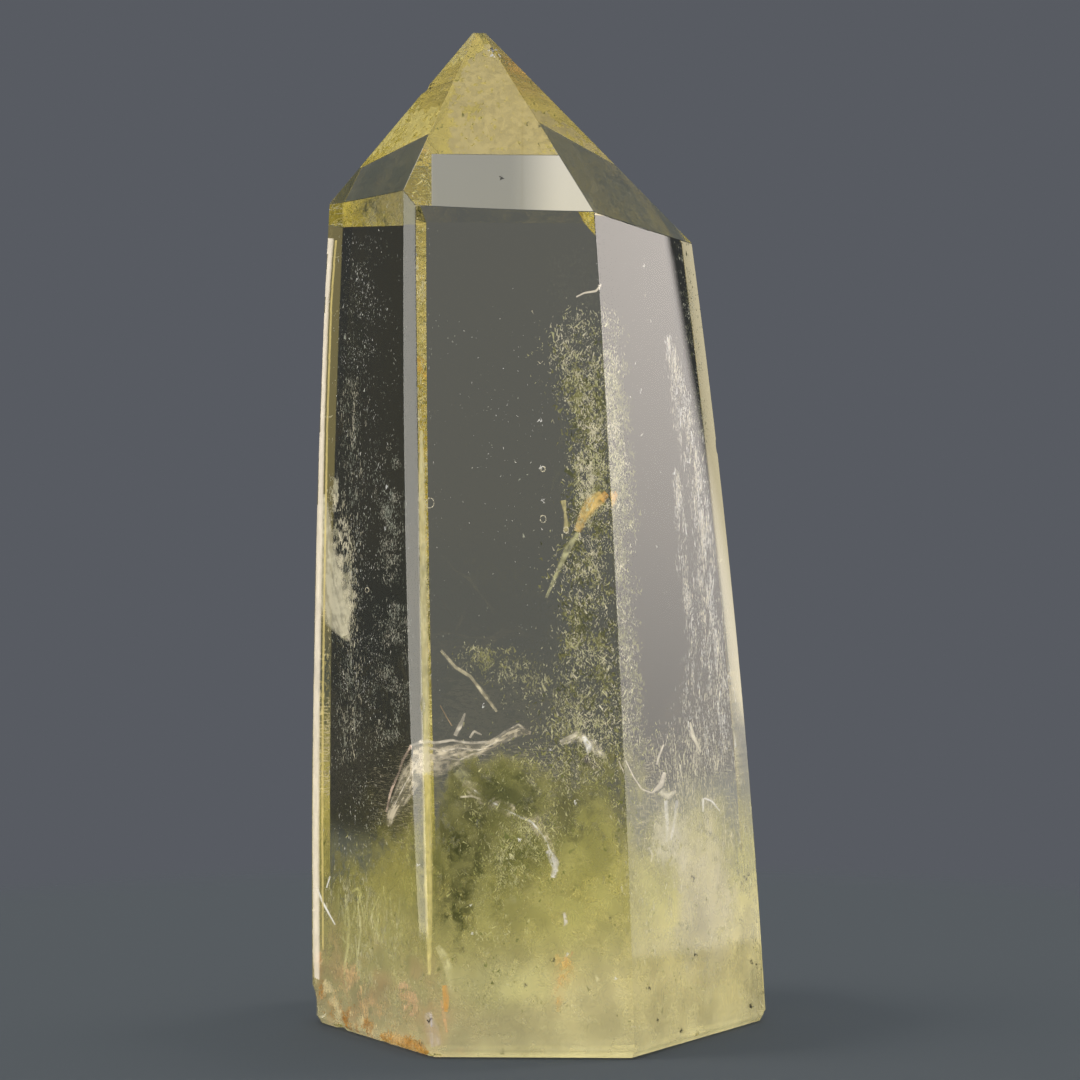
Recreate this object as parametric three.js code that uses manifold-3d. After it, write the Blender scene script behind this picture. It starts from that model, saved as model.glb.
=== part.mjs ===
// Citrine crystal point: a polished seven-sided quartz prism with a six-sided tip, standing on a flat base.
// Millimetres, +Z up, -Y is the front. An azimuth runs from the front towards the right (+X), in degrees.
import * as THREE from "three";
import { ConvexGeometry } from "three/addons/geometries/ConvexGeometry.js";
import { mergeVertices } from "three/addons/utils/BufferGeometryUtils.js";
import Module from "manifold-3d";

const wasm = await Module();
wasm.setup();

// Driving dimensions
const apexHeight = 80.6; // where the six tip facets would meet, before the tip was blunted
const apexRight = -4.93;
const apexBack = 2.73;
const shoulderHeight = 66; // the side faces' lean and bow are measured up to here
const bodyRows = 11; // flat steps that make up the bow of each side face
const footChamfer = 0.55;

// Side faces in order round the stone. distance is from the axis to the foot of the face, lean is how
// far the face tips inwards, and bow is how far its middle stands proud of a flat face.
const sideFaces = {
  front: { azimuth: -1.6, distance: 16.78, lean: 4.45, bow: 0.31 },
  right: { azimuth: 58.9, distance: 15.14, lean: 4.7, bow: 0.38 },
  backRight: { azimuth: 121.4, distance: 16.47, lean: 5.06, bow: 0.75 },
  back: { azimuth: 179.8, distance: 16.93, lean: 3.71, bow: 0.3 },
  backLeft: { azimuth: 236.2, distance: 15.78, lean: 1.17, bow: 0.44 },
  left: { azimuth: 299.9, distance: 15.73, lean: 1.09, bow: 0.46 },
  leftBevel: { azimuth: 314.1, distance: 17.54, lean: 2.27, bow: 0.37 },
};

// Tip facets in order round the stone, all through the apex. rise is how far a facet looks upwards.
const tipFacets = {
  front: { azimuth: 0.2, rise: 44.2 },
  right: { azimuth: 67.1, rise: 43.3 },
  backRight: { azimuth: 123.9, rise: 37.4 },
  back: { azimuth: 179.5, rise: 31.1 },
  backLeft: { azimuth: 240.7, rise: 33.5 },
  left: { azimuth: 296.0, rise: 39.3 },
};

// Breaks on the edges of the side faces: a height on the edge, the half sizes of the flake that is
// missing (across, deep and tall), how far its middle lies outside the edge, and its turn.
const edgeChips = [
  { edge: ["backLeft", "left"], height: 0.5, size: [1.7, 1.5, 3.0], out: 0.6, turn: 20 },
  { edge: ["left", "leftBevel"], height: 0, size: [1.0, 0.9, 0.8], out: 0.35, turn: 50 },
  { edge: ["leftBevel", "front"], height: 0.1, size: [1.3, 0.8, 0.7], out: 0.3, turn: 10 },
  { edge: ["leftBevel", "front"], height: 27.5, size: [0.6, 0.5, 1.0], out: 0.35, turn: 35 },
  { edge: ["front", "right"], height: 59.6, size: [0.7, 0.5, 0.8], out: 0.4, turn: 15 },
  { edge: ["front", "right"], height: 21.0, size: [0.5, 0.5, 0.7], out: 0.35, turn: 70 },
  { edge: ["right", "backRight"], height: 47.0, size: [0.6, 0.6, 1.2], out: 0.4, turn: 40 },
  { edge: ["right", "backRight"], height: 0.2, size: [1.0, 0.8, 0.9], out: 0.4, turn: 5 },
  { edge: ["backRight", "back"], height: 12.0, size: [0.8, 0.6, 1.3], out: 0.4, turn: 25 },
  { edge: ["back", "backLeft"], height: 0.2, size: [1.4, 1.0, 1.1], out: 0.4, turn: 60 },
];

// Breaks along the foot of a face: the share of the way from the first named edge to the second
const footChips = [
  { edges: [["backLeft", "left"], ["left", "leftBevel"]], share: 0.23, size: [1.9, 1.2, 1.0], turn: 30 },
  { edges: [["backLeft", "left"], ["left", "leftBevel"]], share: 0.62, size: [1.5, 0.8, 0.5], turn: 75 },
  { edges: [["front", "right"], ["right", "backRight"]], share: 0.46, size: [0.5, 0.6, 1.3], turn: 12 },
  { edges: [["backRight", "back"], ["back", "backLeft"]], share: 0.4, size: [1.6, 0.8, 0.7], turn: 45 },
];

// Breaks on the edges between tip facets, at a drop below the apex
const tipChips = [
  { edge: ["front", "right"], drop: 2.1, size: [0.45, 0.45, 0.6], turn: 20 },
  { edge: ["backLeft", "left"], drop: 5.2, size: [0.4, 0.5, 0.6], turn: 55 },
  { edge: ["back", "backLeft"], drop: 1.7, size: [0.5, 0.4, 0.4], turn: 5 },
];
const tipFlake = { size: [1.5, 1.3, 0.62], turn: 33, tilt: 9 }; // the blunted point itself

const degrees = Math.PI / 180;
const up = new THREE.Vector3(0, 0, 1);

function outward(azimuth) {
  const angle = azimuth * degrees;
  return new THREE.Vector3(Math.sin(angle), -Math.cos(angle), 0);
}

// Distance of a side face from the axis at a height, with its lean and bow
function faceDistance(face, height) {
  const along = (2 * height) / shoulderHeight - 1;
  return face.distance - height * Math.tan(face.lean * degrees) + face.bow * (1 - along * along);
}

// Point where two side faces meet at a height, with both faces moved inwards by an inset
function edgePoint(first, second, height, inset = 0) {
  const a = outward(first.azimuth);
  const b = outward(second.azimuth);
  const da = faceDistance(first, height) - inset;
  const db = faceDistance(second, height) - inset;
  const cross = a.x * b.y - a.y * b.x;
  return new THREE.Vector3((da * b.y - db * a.y) / cross, (a.x * db - b.x * da) / cross, height);
}

function sectionPoints(height, inset = 0) {
  const faces = Object.values(sideFaces);
  return faces.map((face, i) => edgePoint(face, faces[(i + 1) % faces.length], height, inset));
}

// Point where two neighbouring tip facets meet at a height
function tipEdgePoint(first, second, height) {
  const slopeOf = (facet) => Math.tan(facet.rise * degrees);
  const a = outward(first.azimuth);
  const b = outward(second.azimuth);
  const drop = apexHeight - height;
  const da = a.x * apexRight + a.y * apexBack + drop * slopeOf(first);
  const db = b.x * apexRight + b.y * apexBack + drop * slopeOf(second);
  const cross = a.x * b.y - a.y * b.x;
  return new THREE.Vector3((da * b.y - db * a.y) / cross, (a.x * db - b.x * da) / cross, height);
}

// A closed geometry as a solid that can be cut and joined
function toSolid(geometry) {
  const bare = geometry.index ? geometry.toNonIndexed() : geometry.clone();
  bare.deleteAttribute("normal");
  bare.deleteAttribute("uv");
  const merged = mergeVertices(bare, 1e-4);
  return new wasm.Manifold(
    new wasm.Mesh({
      numProp: 3,
      vertProperties: merged.attributes.position.array,
      triVerts: new Uint32Array(merged.index.array),
    }),
  );
}

function toGeometry(solid) {
  const mesh = solid.getMesh();
  const geometry = new THREE.BufferGeometry();
  geometry.setAttribute("position", new THREE.BufferAttribute(mesh.vertProperties, 3));
  geometry.setIndex(new THREE.BufferAttribute(mesh.triVerts, 1));
  geometry.computeVertexNormals();
  return geometry;
}

// The prism: sections from the chamfered foot up past the apex, wrapped in one convex hull
function makePrism() {
  const points = sectionPoints(0, footChamfer);
  for (let row = 0; row <= bodyRows; row++) {
    points.push(...sectionPoints(footChamfer + (apexHeight - footChamfer) * (row / bodyRows)));
  }
  return toSolid(new ConvexGeometry(points));
}

// The tip: a six-sided pyramid that reaches below the foot
function makePyramid() {
  const facets = Object.values(tipFacets);
  const below = -1;
  const corners = facets.map((facet, i) => tipEdgePoint(facet, facets[(i + 1) % facets.length], below));
  return toSolid(new ConvexGeometry([new THREE.Vector3(apexRight, apexBack, apexHeight), ...corners]));
}

// A missing flake: a faceted lump with its own half sizes, turned about the vertical
function makeFlake(center, size, turn, tilt = 0) {
  const lump = new THREE.IcosahedronGeometry(1, 1);
  lump.scale(...size);
  lump.rotateX(tilt * degrees);
  lump.rotateZ(turn * degrees);
  lump.translate(center.x, center.y, center.z);
  return toSolid(lump);
}

// A point on an edge, moved straight out from the axis
function movedOut(point, distance) {
  const flat = new THREE.Vector3(point.x, point.y, 0).normalize();
  return point.clone().addScaledVector(flat, distance);
}

function makeEdgeFlakes() {
  return edgeChips.map(({ edge: [a, b], height, size, out, turn }) => {
    const point = edgePoint(sideFaces[a], sideFaces[b], height);
    return makeFlake(movedOut(point, out), size, turn);
  });
}

function makeFootFlakes() {
  return footChips.map(({ edges: [start, end], share, size, turn }) => {
    const from = edgePoint(sideFaces[start[0]], sideFaces[start[1]], 0);
    const to = edgePoint(sideFaces[end[0]], sideFaces[end[1]], 0);
    return makeFlake(movedOut(from.lerp(to, share), size[1] / 2), size, turn);
  });
}

function makeTipFlakes() {
  const small = tipChips.map(({ edge: [a, b], drop, size, turn }) => {
    const point = tipEdgePoint(tipFacets[a], tipFacets[b], apexHeight - drop);
    return makeFlake(point.addScaledVector(up, size[2] / 2), size, turn);
  });
  const apex = new THREE.Vector3(apexRight, apexBack, apexHeight);
  return [...small, makeFlake(apex, tipFlake.size, tipFlake.turn, tipFlake.tilt)];
}

function makeCrystalPoint() {
  let stone = makePrism().intersect(makePyramid());
  for (const flake of [...makeEdgeFlakes(), ...makeFootFlakes(), ...makeTipFlakes()]) {
    stone = stone.subtract(flake);
  }
  const geometry = toGeometry(stone);
  geometry.computeBoundingBox();
  const middle = geometry.boundingBox.getCenter(new THREE.Vector3());
  geometry.translate(-middle.x, -middle.y, -geometry.boundingBox.min.z);
  const citrine = new THREE.MeshStandardMaterial({ color: 0xcdc58f, roughness: 0.08, metalness: 0 });
  const mesh = new THREE.Mesh(geometry, citrine);
  mesh.name = "crystal_point";
  return mesh;
}

const model = new THREE.Group();
model.add(makeCrystalPoint());

export default model;
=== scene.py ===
# Citrine crystal point: a clear polished quartz tower with veils, specks, a mossy foot and rust stains.
# Metres, +Z up, -Y is the front. Lengths in the settings below are millimetres and pass through MM.
import math

import bmesh
import bpy
import numpy as np
from mathutils import Euler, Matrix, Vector


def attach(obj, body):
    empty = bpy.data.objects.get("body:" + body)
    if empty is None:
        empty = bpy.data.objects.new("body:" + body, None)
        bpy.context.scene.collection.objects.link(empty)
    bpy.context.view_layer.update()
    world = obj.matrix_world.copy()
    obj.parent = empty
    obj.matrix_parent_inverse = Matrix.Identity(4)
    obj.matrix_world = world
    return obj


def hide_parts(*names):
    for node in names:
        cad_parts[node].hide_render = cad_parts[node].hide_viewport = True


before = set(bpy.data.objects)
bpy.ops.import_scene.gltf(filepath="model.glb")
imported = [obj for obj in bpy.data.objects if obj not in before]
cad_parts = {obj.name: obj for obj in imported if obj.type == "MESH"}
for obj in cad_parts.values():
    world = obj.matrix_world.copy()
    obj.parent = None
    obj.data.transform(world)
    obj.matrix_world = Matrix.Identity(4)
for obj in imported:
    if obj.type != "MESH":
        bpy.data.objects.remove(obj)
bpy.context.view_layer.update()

MM = 0.001
NODE = "crystal_point"

# Shape of the stone, the same driving sizes as its solid
APEX = Vector((-4.93, 2.73, 80.6))
SHOULDER_HEIGHT = 66.0
BODY_ROWS = 33
FACE_COLUMNS = 8
FACE_CROWN = 0.07
FULL_FACE_WIDTH = 16.0
NARROW_FACE = 4.0
FLAT_FACE = "back"
FOOT_CHAMFER = 0.55
EDGE_ROUNDING = 0.13
ROUNDED_ANGLE = math.radians(9)

# Azimuth from the front towards the right, distance of the foot from the axis, lean, and bow
SIDE_FACES = {
    "front": (-1.6, 16.78, 4.45, 0.31),
    "right": (58.9, 15.14, 4.7, 0.38),
    "back_right": (121.4, 16.47, 5.06, 0.75),
    "back": (179.8, 16.93, 3.71, 0.3),
    "back_left": (236.2, 15.78, 1.17, 0.44),
    "left": (299.9, 15.73, 1.09, 0.46),
    "left_bevel": (314.1, 17.54, 2.27, 0.37),
}

# Azimuth, and how far the facet looks upwards
TIP_FACETS = {
    "front": (0.2, 44.2),
    "right": (67.1, 43.3),
    "back_right": (123.9, 37.4),
    "back": (179.5, 31.1),
    "back_left": (240.7, 33.5),
    "left": (296.0, 39.3),
}

# Breaks on the edges of the side faces: height on the edge, half sizes of the missing flake, how far its
# middle lies outside the edge, and its turn in degrees
EDGE_CHIPS = (
    (("back_left", "left"), 0.5, (1.7, 1.5, 3.0), 0.6, 20),
    (("left", "left_bevel"), 0.0, (1.0, 0.9, 0.8), 0.35, 50),
    (("left_bevel", "front"), 0.1, (1.3, 0.8, 0.7), 0.3, 10),
    (("left_bevel", "front"), 27.5, (0.6, 0.5, 1.0), 0.35, 35),
    (("front", "right"), 59.6, (0.7, 0.5, 0.8), 0.4, 15),
    (("front", "right"), 21.0, (0.5, 0.5, 0.7), 0.35, 70),
    (("right", "back_right"), 47.0, (0.6, 0.6, 1.2), 0.4, 40),
    (("right", "back_right"), 0.2, (1.0, 0.8, 0.9), 0.4, 5),
    (("back_right", "back"), 12.0, (0.8, 0.6, 1.3), 0.4, 25),
    (("back", "back_left"), 0.2, (1.4, 1.0, 1.1), 0.4, 60),
)
# Breaks along the foot of a face: share of the way from the first edge to the second, half sizes, turn
FOOT_CHIPS = (
    ((("back_left", "left"), ("left", "left_bevel")), 0.23, (1.9, 1.2, 1.0), 30),
    ((("back_left", "left"), ("left", "left_bevel")), 0.62, (1.5, 0.8, 0.5), 75),
    ((("front", "right"), ("right", "back_right")), 0.46, (0.5, 0.6, 1.3), 12),
    ((("back_right", "back"), ("back", "back_left")), 0.4, (1.6, 0.8, 0.7), 45),
)
# Breaks on the edges between tip facets: drop below the apex, half sizes, turn
TIP_CHIPS = (
    (("front", "right"), 2.1, (0.45, 0.45, 0.6), 20),
    (("back_left", "left"), 5.2, (0.4, 0.5, 0.6), 55),
    (("back", "back_left"), 1.7, (0.5, 0.4, 0.4), 5),
)
TIP_FLAKE_SIZE = (1.5, 1.3, 0.62)
TIP_FLAKE_TURN = 33
TIP_FLAKE_TILT = 9
CHIP_ROUGHNESS = 0.06
CHIP_SEED = 3

# An edge is drawn sharp from these angles, for large polished facets and for the small ones of a break
POLISHED_AREA = 0.1
POLISHED_ANGLE = math.radians(3)
BROKEN_ANGLE = math.radians(30)

# Camera, from the photograph's perspective
CAMERA_PLACE = Vector((0.0, -400.0, 66.0))
CAMERA_PITCH_DOWN = 3.82
SENSOR = 36.0
IMAGE_WIDTH_PX = 1080
FOCAL_PX = 4976.5
NEAR_LIMIT = 0.01

# A row of the image as a height on the stone, and the rows that are followed inwards together
IMAGE_FOOT_ROW = 1043
PX_PER_MM = 12.8
SIGHT_BAND_ROWS = 24

SIDE_NAMES = list(SIDE_FACES)
QUARTZ_IOR = 1.548
QUARTZ_TINT = (0.988, 0.976, 0.9, 1)
QUARTZ_DENSITY = 125

# How near the surface of the stone a flake, a ribbon or a mossy thread may come
FLAKE_MARGIN = 0.1
RIBBON_MARGIN = 0.05
MOSS_MARGIN = 0.5

FLOOR_RADIUS = 104.0
FLOOR_FADE_START = 84.0
FLOOR_DROP = 0.05
FLOOR_COLOUR = (0.46, 0.51, 0.55, 1)
FLOOR_ROUGHNESS = 0.9


def outward(azimuth):
    angle = math.radians(azimuth)
    return Vector((math.sin(angle), -math.cos(angle), 0))


def tip_normal(azimuth, rise):
    flat = outward(azimuth) * math.cos(math.radians(rise))
    return flat + Vector((0, 0, math.sin(math.radians(rise))))


def face_distance(face, height):
    """Distance of a side face from the axis at a height"""
    _, distance, lean, bow = face
    along = 2 * height / SHOULDER_HEIGHT - 1
    return distance - height * math.tan(math.radians(lean)) + bow * (1 - along * along)


def crossing(first, first_distance, second, second_distance, height):
    """Point at a height where two upright walls, given by azimuth and distance, meet"""
    a, b = outward(first), outward(second)
    cross = a.x * b.y - a.y * b.x
    x = (first_distance * b.y - second_distance * a.y) / cross
    y = (a.x * second_distance - b.x * first_distance) / cross
    return Vector((x, y, height))


def section(height, inset=0.0):
    """Corners of the stone's outline at a height, in order round the stone"""
    faces = list(SIDE_FACES.values())
    following = faces[1:] + faces[:1]
    return [
        crossing(a[0], face_distance(a, height) - inset, b[0], face_distance(b, height) - inset, height)
        for a, b in zip(faces, following)
    ]


def row_heights():
    top = APEX.z - FOOT_CHAMFER
    return [FOOT_CHAMFER + top * row / BODY_ROWS for row in range(BODY_ROWS + 1)]


def axis_offset():
    """How far the stone's axis stands from the middle of its own outline box"""
    points = [p for h in row_heights() for p in section(h)]
    xs = [p.x for p in points]
    ys = [p.y for p in points]
    return Vector(((max(xs) + min(xs)) / 2, (max(ys) + min(ys)) / 2, 0))


AXIS_OFFSET = axis_offset()


def placed(point):
    """A point in the stone's own millimetres as a point of the frame, in metres"""
    return (Vector(point) - AXIS_OFFSET) * MM


def new_object(name, mesh):
    piece = bpy.data.objects.new(name, mesh)
    bpy.context.scene.collection.objects.link(piece)
    return piece


def crowned(corners, crown):
    """A ring of points whose straight sides bulge a little, with several points to a side"""
    ring = []
    for i, corner in enumerate(corners):
        face = SIDE_NAMES[(i + 1) % len(SIDE_NAMES)]
        following = corners[(i + 1) % len(corners)]
        width = (following - corner).length
        bulge = 0 if face == FLAT_FACE else crown * min(width / FULL_FACE_WIDTH, 1)
        push = outward(SIDE_FACES[face][0]) * bulge
        steps = FACE_COLUMNS if width > NARROW_FACE else 1
        for step in range(steps):
            share = step / steps
            ring.append(corner.lerp(following, share) + push * 4 * share * (1 - share))
    return ring


def make_prism(bm):
    sections = [crowned(section(0, FOOT_CHAMFER), 0)]
    sections += [crowned(section(h, FACE_CROWN), FACE_CROWN) for h in row_heights()]
    rings = [[bm.verts.new(placed(p)) for p in ring] for ring in sections]
    count = len(rings[0])
    for lower, upper in zip(rings, rings[1:]):
        for i in range(count):
            j = (i + 1) % count
            bm.faces.new((lower[i], lower[j], upper[j], upper[i]))
    bm.faces.new(list(reversed(rings[0])))
    bm.faces.new(rings[-1])


def cut_tip(bm):
    apex = placed(APEX)
    for azimuth, rise in TIP_FACETS.values():
        normal = tip_normal(azimuth, rise)
        whole = bm.verts[:] + bm.edges[:] + bm.faces[:]
        cut = bmesh.ops.bisect_plane(
            bm, geom=whole, dist=1e-8, plane_co=apex, plane_no=normal, clear_outer=True
        )
        rim = [e for e in cut["geom_cut"] if isinstance(e, bmesh.types.BMEdge)]
        bmesh.ops.contextual_create(bm, geom=rim)


def round_edges(bm):
    sharp = [e for e in bm.edges if e.calc_face_angle(0) > ROUNDED_ANGLE]
    bmesh.ops.bevel(
        bm,
        geom=sharp,
        offset=EDGE_ROUNDING * MM,
        segments=2,
        profile=0.5,
        affect="EDGES",
        clamp_overlap=True,
    )


def edge_point(first, second, height):
    a, b = SIDE_FACES[first], SIDE_FACES[second]
    return crossing(a[0], face_distance(a, height), b[0], face_distance(b, height), height)


def tip_edge_point(first, second, drop):
    """Point at a drop below the apex where two neighbouring tip facets meet"""
    axis = Vector((APEX.x, APEX.y, 0))
    a, b = TIP_FACETS[first], TIP_FACETS[second]
    reach = [outward(turn).dot(axis) + drop * math.tan(math.radians(rise)) for turn, rise in (a, b)]
    return crossing(a[0], reach[0], b[0], reach[1], APEX.z - drop)


def moved_out(point, distance):
    return point + Vector((point.x, point.y, 0)).normalized() * distance


def missing_flakes():
    """Middle, half sizes, turn and tilt of every flake that is broken off the stone"""
    flakes = []
    for (first, second), height, size, out, turn in EDGE_CHIPS:
        flakes.append((moved_out(edge_point(first, second, height), out), size, turn, 0))
    for (start, end), share, size, turn in FOOT_CHIPS:
        middle = edge_point(*start, 0).lerp(edge_point(*end, 0), share)
        flakes.append((moved_out(middle, size[1] / 2), size, turn, 0))
    for (first, second), drop, size, turn in TIP_CHIPS:
        middle = tip_edge_point(first, second, drop) + Vector((0, 0, size[2] / 2))
        flakes.append((middle, size, turn, 0))
    flakes.append((APEX, TIP_FLAKE_SIZE, TIP_FLAKE_TURN, TIP_FLAKE_TILT))
    return flakes


def make_cutters():
    """One mesh of rough lumps, which the breaks are cut with"""
    rng = np.random.default_rng(CHIP_SEED)
    bm = bmesh.new()
    for middle, size, turn, tilt in missing_flakes():
        lump = bmesh.ops.create_icosphere(bm, subdivisions=3, radius=1.0)["verts"]
        spin = Euler((math.radians(tilt), 0, math.radians(turn))).to_matrix()
        for vertex in lump:
            rough = 1 + rng.uniform(-CHIP_ROUGHNESS, 0)
            spot = Vector(c * s * rough for c, s in zip(vertex.co, size))
            vertex.co = placed(middle + spin @ spot)
    mesh = bpy.data.meshes.new("cutters")
    bm.to_mesh(mesh)
    bm.free()
    return new_object("cutters", mesh)


def break_off(crystal):
    """Cuts the missing flakes out of the stone"""
    cutters = make_cutters()
    cut = crystal.modifiers.new("breaks", "BOOLEAN")
    cut.operation = "DIFFERENCE"
    cut.solver = "EXACT"
    cut.use_self = True
    cut.object = cutters
    graph = bpy.context.evaluated_depsgraph_get()
    broken = bpy.data.meshes.new_from_object(crystal.evaluated_get(graph))
    crystal.modifiers.clear()
    crystal.data = broken
    bpy.data.objects.remove(cutters)


def polished_faces(bm):
    """The large flat faces, and every small one that carries on flat from them"""
    polished = {face for face in bm.faces if face.calc_area() > POLISHED_AREA * MM * MM}
    waiting = list(polished)
    while waiting:
        face = waiting.pop()
        for edge in face.edges:
            if edge.calc_face_angle(math.pi) < POLISHED_ANGLE:
                found = [other for other in edge.link_faces if other not in polished]
                polished.update(found)
                waiting.extend(found)
    return polished


def mark_sharp_edges(mesh):
    """Keeps the polished faces exactly flat right up to their edges, and the broken places smooth"""
    bm = bmesh.new()
    bm.from_mesh(mesh)
    polished = polished_faces(bm)
    for face in bm.faces:
        face.smooth = True
    for edge in bm.edges:
        flat = any(face in polished for face in edge.link_faces)
        edge.smooth = edge.calc_face_angle(0) < (POLISHED_ANGLE if flat else BROKEN_ANGLE)
    bm.to_mesh(mesh)
    bm.free()


def make_crystal():
    mesh = bpy.data.meshes.new("crystal")
    bm = bmesh.new()
    make_prism(bm)
    cut_tip(bm)
    bmesh.ops.remove_doubles(bm, verts=bm.verts, dist=1e-6)
    round_edges(bm)
    bmesh.ops.recalc_face_normals(bm, faces=bm.faces)
    bm.to_mesh(mesh)
    bm.free()
    crystal = new_object("crystal", mesh)
    mesh.materials.append(make_quartz())
    break_off(crystal)
    mark_sharp_edges(crystal.data)
    return crystal


def feed(tree, socket, value):
    """Gives a socket a fixed value, or joins another node's output to it"""
    if isinstance(value, bpy.types.NodeSocket):
        tree.links.new(value, socket)
    else:
        socket.default_value = value


def add_node(tree, kind, *values):
    """A node whose first sockets have the given values or outputs"""
    node = tree.nodes.new("ShaderNode" + kind)
    for socket, value in zip(node.inputs, values):
        feed(tree, socket, value)
    return node


def math_node(tree, operation, *values):
    node = add_node(tree, "Math", *values)
    node.operation = operation
    return node.outputs[0]


def soft_step(tree, value, edge, softness, rising=True):
    """0 to 1 across an edge of the given softness, or 1 to 0 if not rising"""
    start, end = (0.0, 1.0) if rising else (1.0, 0.0)
    node = add_node(tree, "MapRange", value, edge - softness / 2, edge + softness / 2, start, end)
    node.interpolation_type = "SMOOTHSTEP"
    return node.outputs["Result"]


def make_quartz():
    """Clear quartz: plain transmission and absorption"""
    material = bpy.data.materials.new("citrine_quartz")
    material.use_nodes = True
    tree = material.node_tree
    shader = tree.nodes["Principled BSDF"]
    shader.inputs["Base Color"].default_value = (1, 1, 1, 1)
    shader.inputs["Roughness"].default_value = 0.0
    shader.inputs["IOR"].default_value = QUARTZ_IOR
    shader.inputs["Transmission Weight"].default_value = 1.0
    depth = add_node(tree, "VolumeAbsorption", QUARTZ_TINT, QUARTZ_DENSITY)
    tree.links.new(depth.outputs["Volume"], tree.nodes["Material Output"].inputs["Volume"])
    return material


def make_camera():
    data = bpy.data.cameras.new("camera")
    data.sensor_width = SENSOR
    data.lens = SENSOR * FOCAL_PX / IMAGE_WIDTH_PX
    data.clip_start = NEAR_LIMIT
    camera = bpy.data.objects.new("camera", data)
    camera.location = placed(CAMERA_PLACE)
    camera.rotation_euler = Euler((math.radians(90 - CAMERA_PITCH_DOWN), 0, 0))
    bpy.context.scene.collection.objects.link(camera)
    bpy.context.scene.camera = camera


def soften_floor_edge(tree, shader):
    """Lets the floor melt into the backdrop towards its rim"""
    reach = add_node(tree, "VectorMath", add_node(tree, "TexCoord").outputs["Object"])
    reach.operation = "LENGTH"
    middle = (FLOOR_FADE_START + FLOOR_RADIUS) / 2 * MM
    width = (FLOOR_RADIUS - FLOOR_FADE_START) * MM
    fade = soft_step(tree, reach.outputs["Value"], middle, width, rising=False)
    clear = add_node(tree, "BsdfTransparent")
    blend = add_node(tree, "MixShader", fade, clear.outputs[0], shader.outputs[0])
    tree.links.new(blend.outputs[0], tree.nodes["Material Output"].inputs["Surface"])


def make_floor():
    mesh = bpy.data.meshes.new("floor")
    bm = bmesh.new()
    bmesh.ops.create_circle(bm, cap_ends=True, radius=FLOOR_RADIUS * MM, segments=128)
    bm.to_mesh(mesh)
    bm.free()
    material = bpy.data.materials.new("floor")
    material.use_nodes = True
    shader = material.node_tree.nodes["Principled BSDF"]
    shader.inputs["Base Color"].default_value = FLOOR_COLOUR
    shader.inputs["Roughness"].default_value = FLOOR_ROUGHNESS
    soften_floor_edge(material.node_tree, shader)
    mesh.materials.append(material)
    floor = new_object("floor", mesh)
    floor.location.z = -FLOOR_DROP * MM


# Studio surroundings: azimuth from straight behind the stone towards the right, and elevation, in degrees
STUDIO_FILL = (0.03, 0.032, 0.035)
BACKDROP = (0.0976, 0.105, 0.122)
# name: azimuth range, elevation range, softness of the sides, of the lower and of the upper edge, colour
STUDIO_PANELS = {
    "backdrop": ((-30, 31), (-27.8, 30), (2, 0.8, 2), BACKDROP),
    "right_glow": ((58.8, 70), (-9, 24), (0.5, 10, 4), (1.15, 1.09, 1.0)),
    "right_softbox": ((58.8, 70), (0.5, 22), (0.5, 14, 4), (4.8, 4.4, 4.1)),
    "left_softbox": ((-116, -80), (-12, 22), (3, 3, 3), (2.9, 2.75, 2.5)),
    "left_low": ((-82, -61), (-22, -4), (3, 3, 3), (0.66, 0.6, 0.46)),
    "overhead": ((-180, 180), (70, 90), (4, 4, 4), (0.85, 0.93, 1.0)),
    "front_fill": ((160, 210), (-30, 30), (8, 8, 8), (0.26, 0.23, 0.18)),
    "front_low": ((136, 158), (-28, -8), (6, 6, 6), (0.2, 0.18, 0.12)),
    "low": ((-30, 31), (-70, -27.8), (2, 2, 0.8), (0.31, 0.305, 0.31)),
    "low_right": ((31, 58), (-70, -26), (2, 2, 2), (0.1, 0.115, 0.09)),
    "low_glow": ((-0.3, 14), (-40, -28), (0.8, 2, 0.8), (0.72, 0.69, 0.68)),
}
PANEL_SLANTS = {"right_glow": -0.09, "right_softbox": -0.09}

FOOT_SHADE_HEIGHT = 5.0
FOOT_SHADE_GAP = 0.05


def make_foot_shade():
    """A low band round the foot that is never seen: it only keeps light off the floor beside the stone"""
    rings = [section(FOOT_SHADE_GAP), section(FOOT_SHADE_HEIGHT)]
    corners = [placed(corner) for ring in rings for corner in ring]
    count = len(rings[0])
    walls = [(i, (i + 1) % count, count + (i + 1) % count, count + i) for i in range(count)]
    mesh = bpy.data.meshes.new("foot_shade")
    mesh.from_pydata(corners, [], walls)
    shade = new_object("foot_shade", mesh)
    shade.visible_camera = False
    shade.visible_diffuse = False
    shade.visible_glossy = False
    shade.visible_transmission = False
    shade.visible_volume_scatter = False


# Lamps for the inside of the stone: azimuth and elevation, width in metres, power in watts, colour
LAMP_DISTANCE = 0.5
EDGE_LAMP = "left_edge"
INSIDE_LAMPS = {
    "front_right": (140, 28, 0.32, 1.4, (1.0, 0.95, 0.88)),
    "front_left": (-132, 22, 0.32, 1.05, (1.0, 0.96, 0.9)),
    "behind": (10, 34, 0.4, 1.0, (0.96, 0.98, 1.0)),
    "above": (60, 78, 0.3, 2.7, (1.0, 0.97, 0.93)),
    EDGE_LAMP: (-112, 12, 0.3, 1.6, (1.0, 0.97, 0.9)),
}


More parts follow.
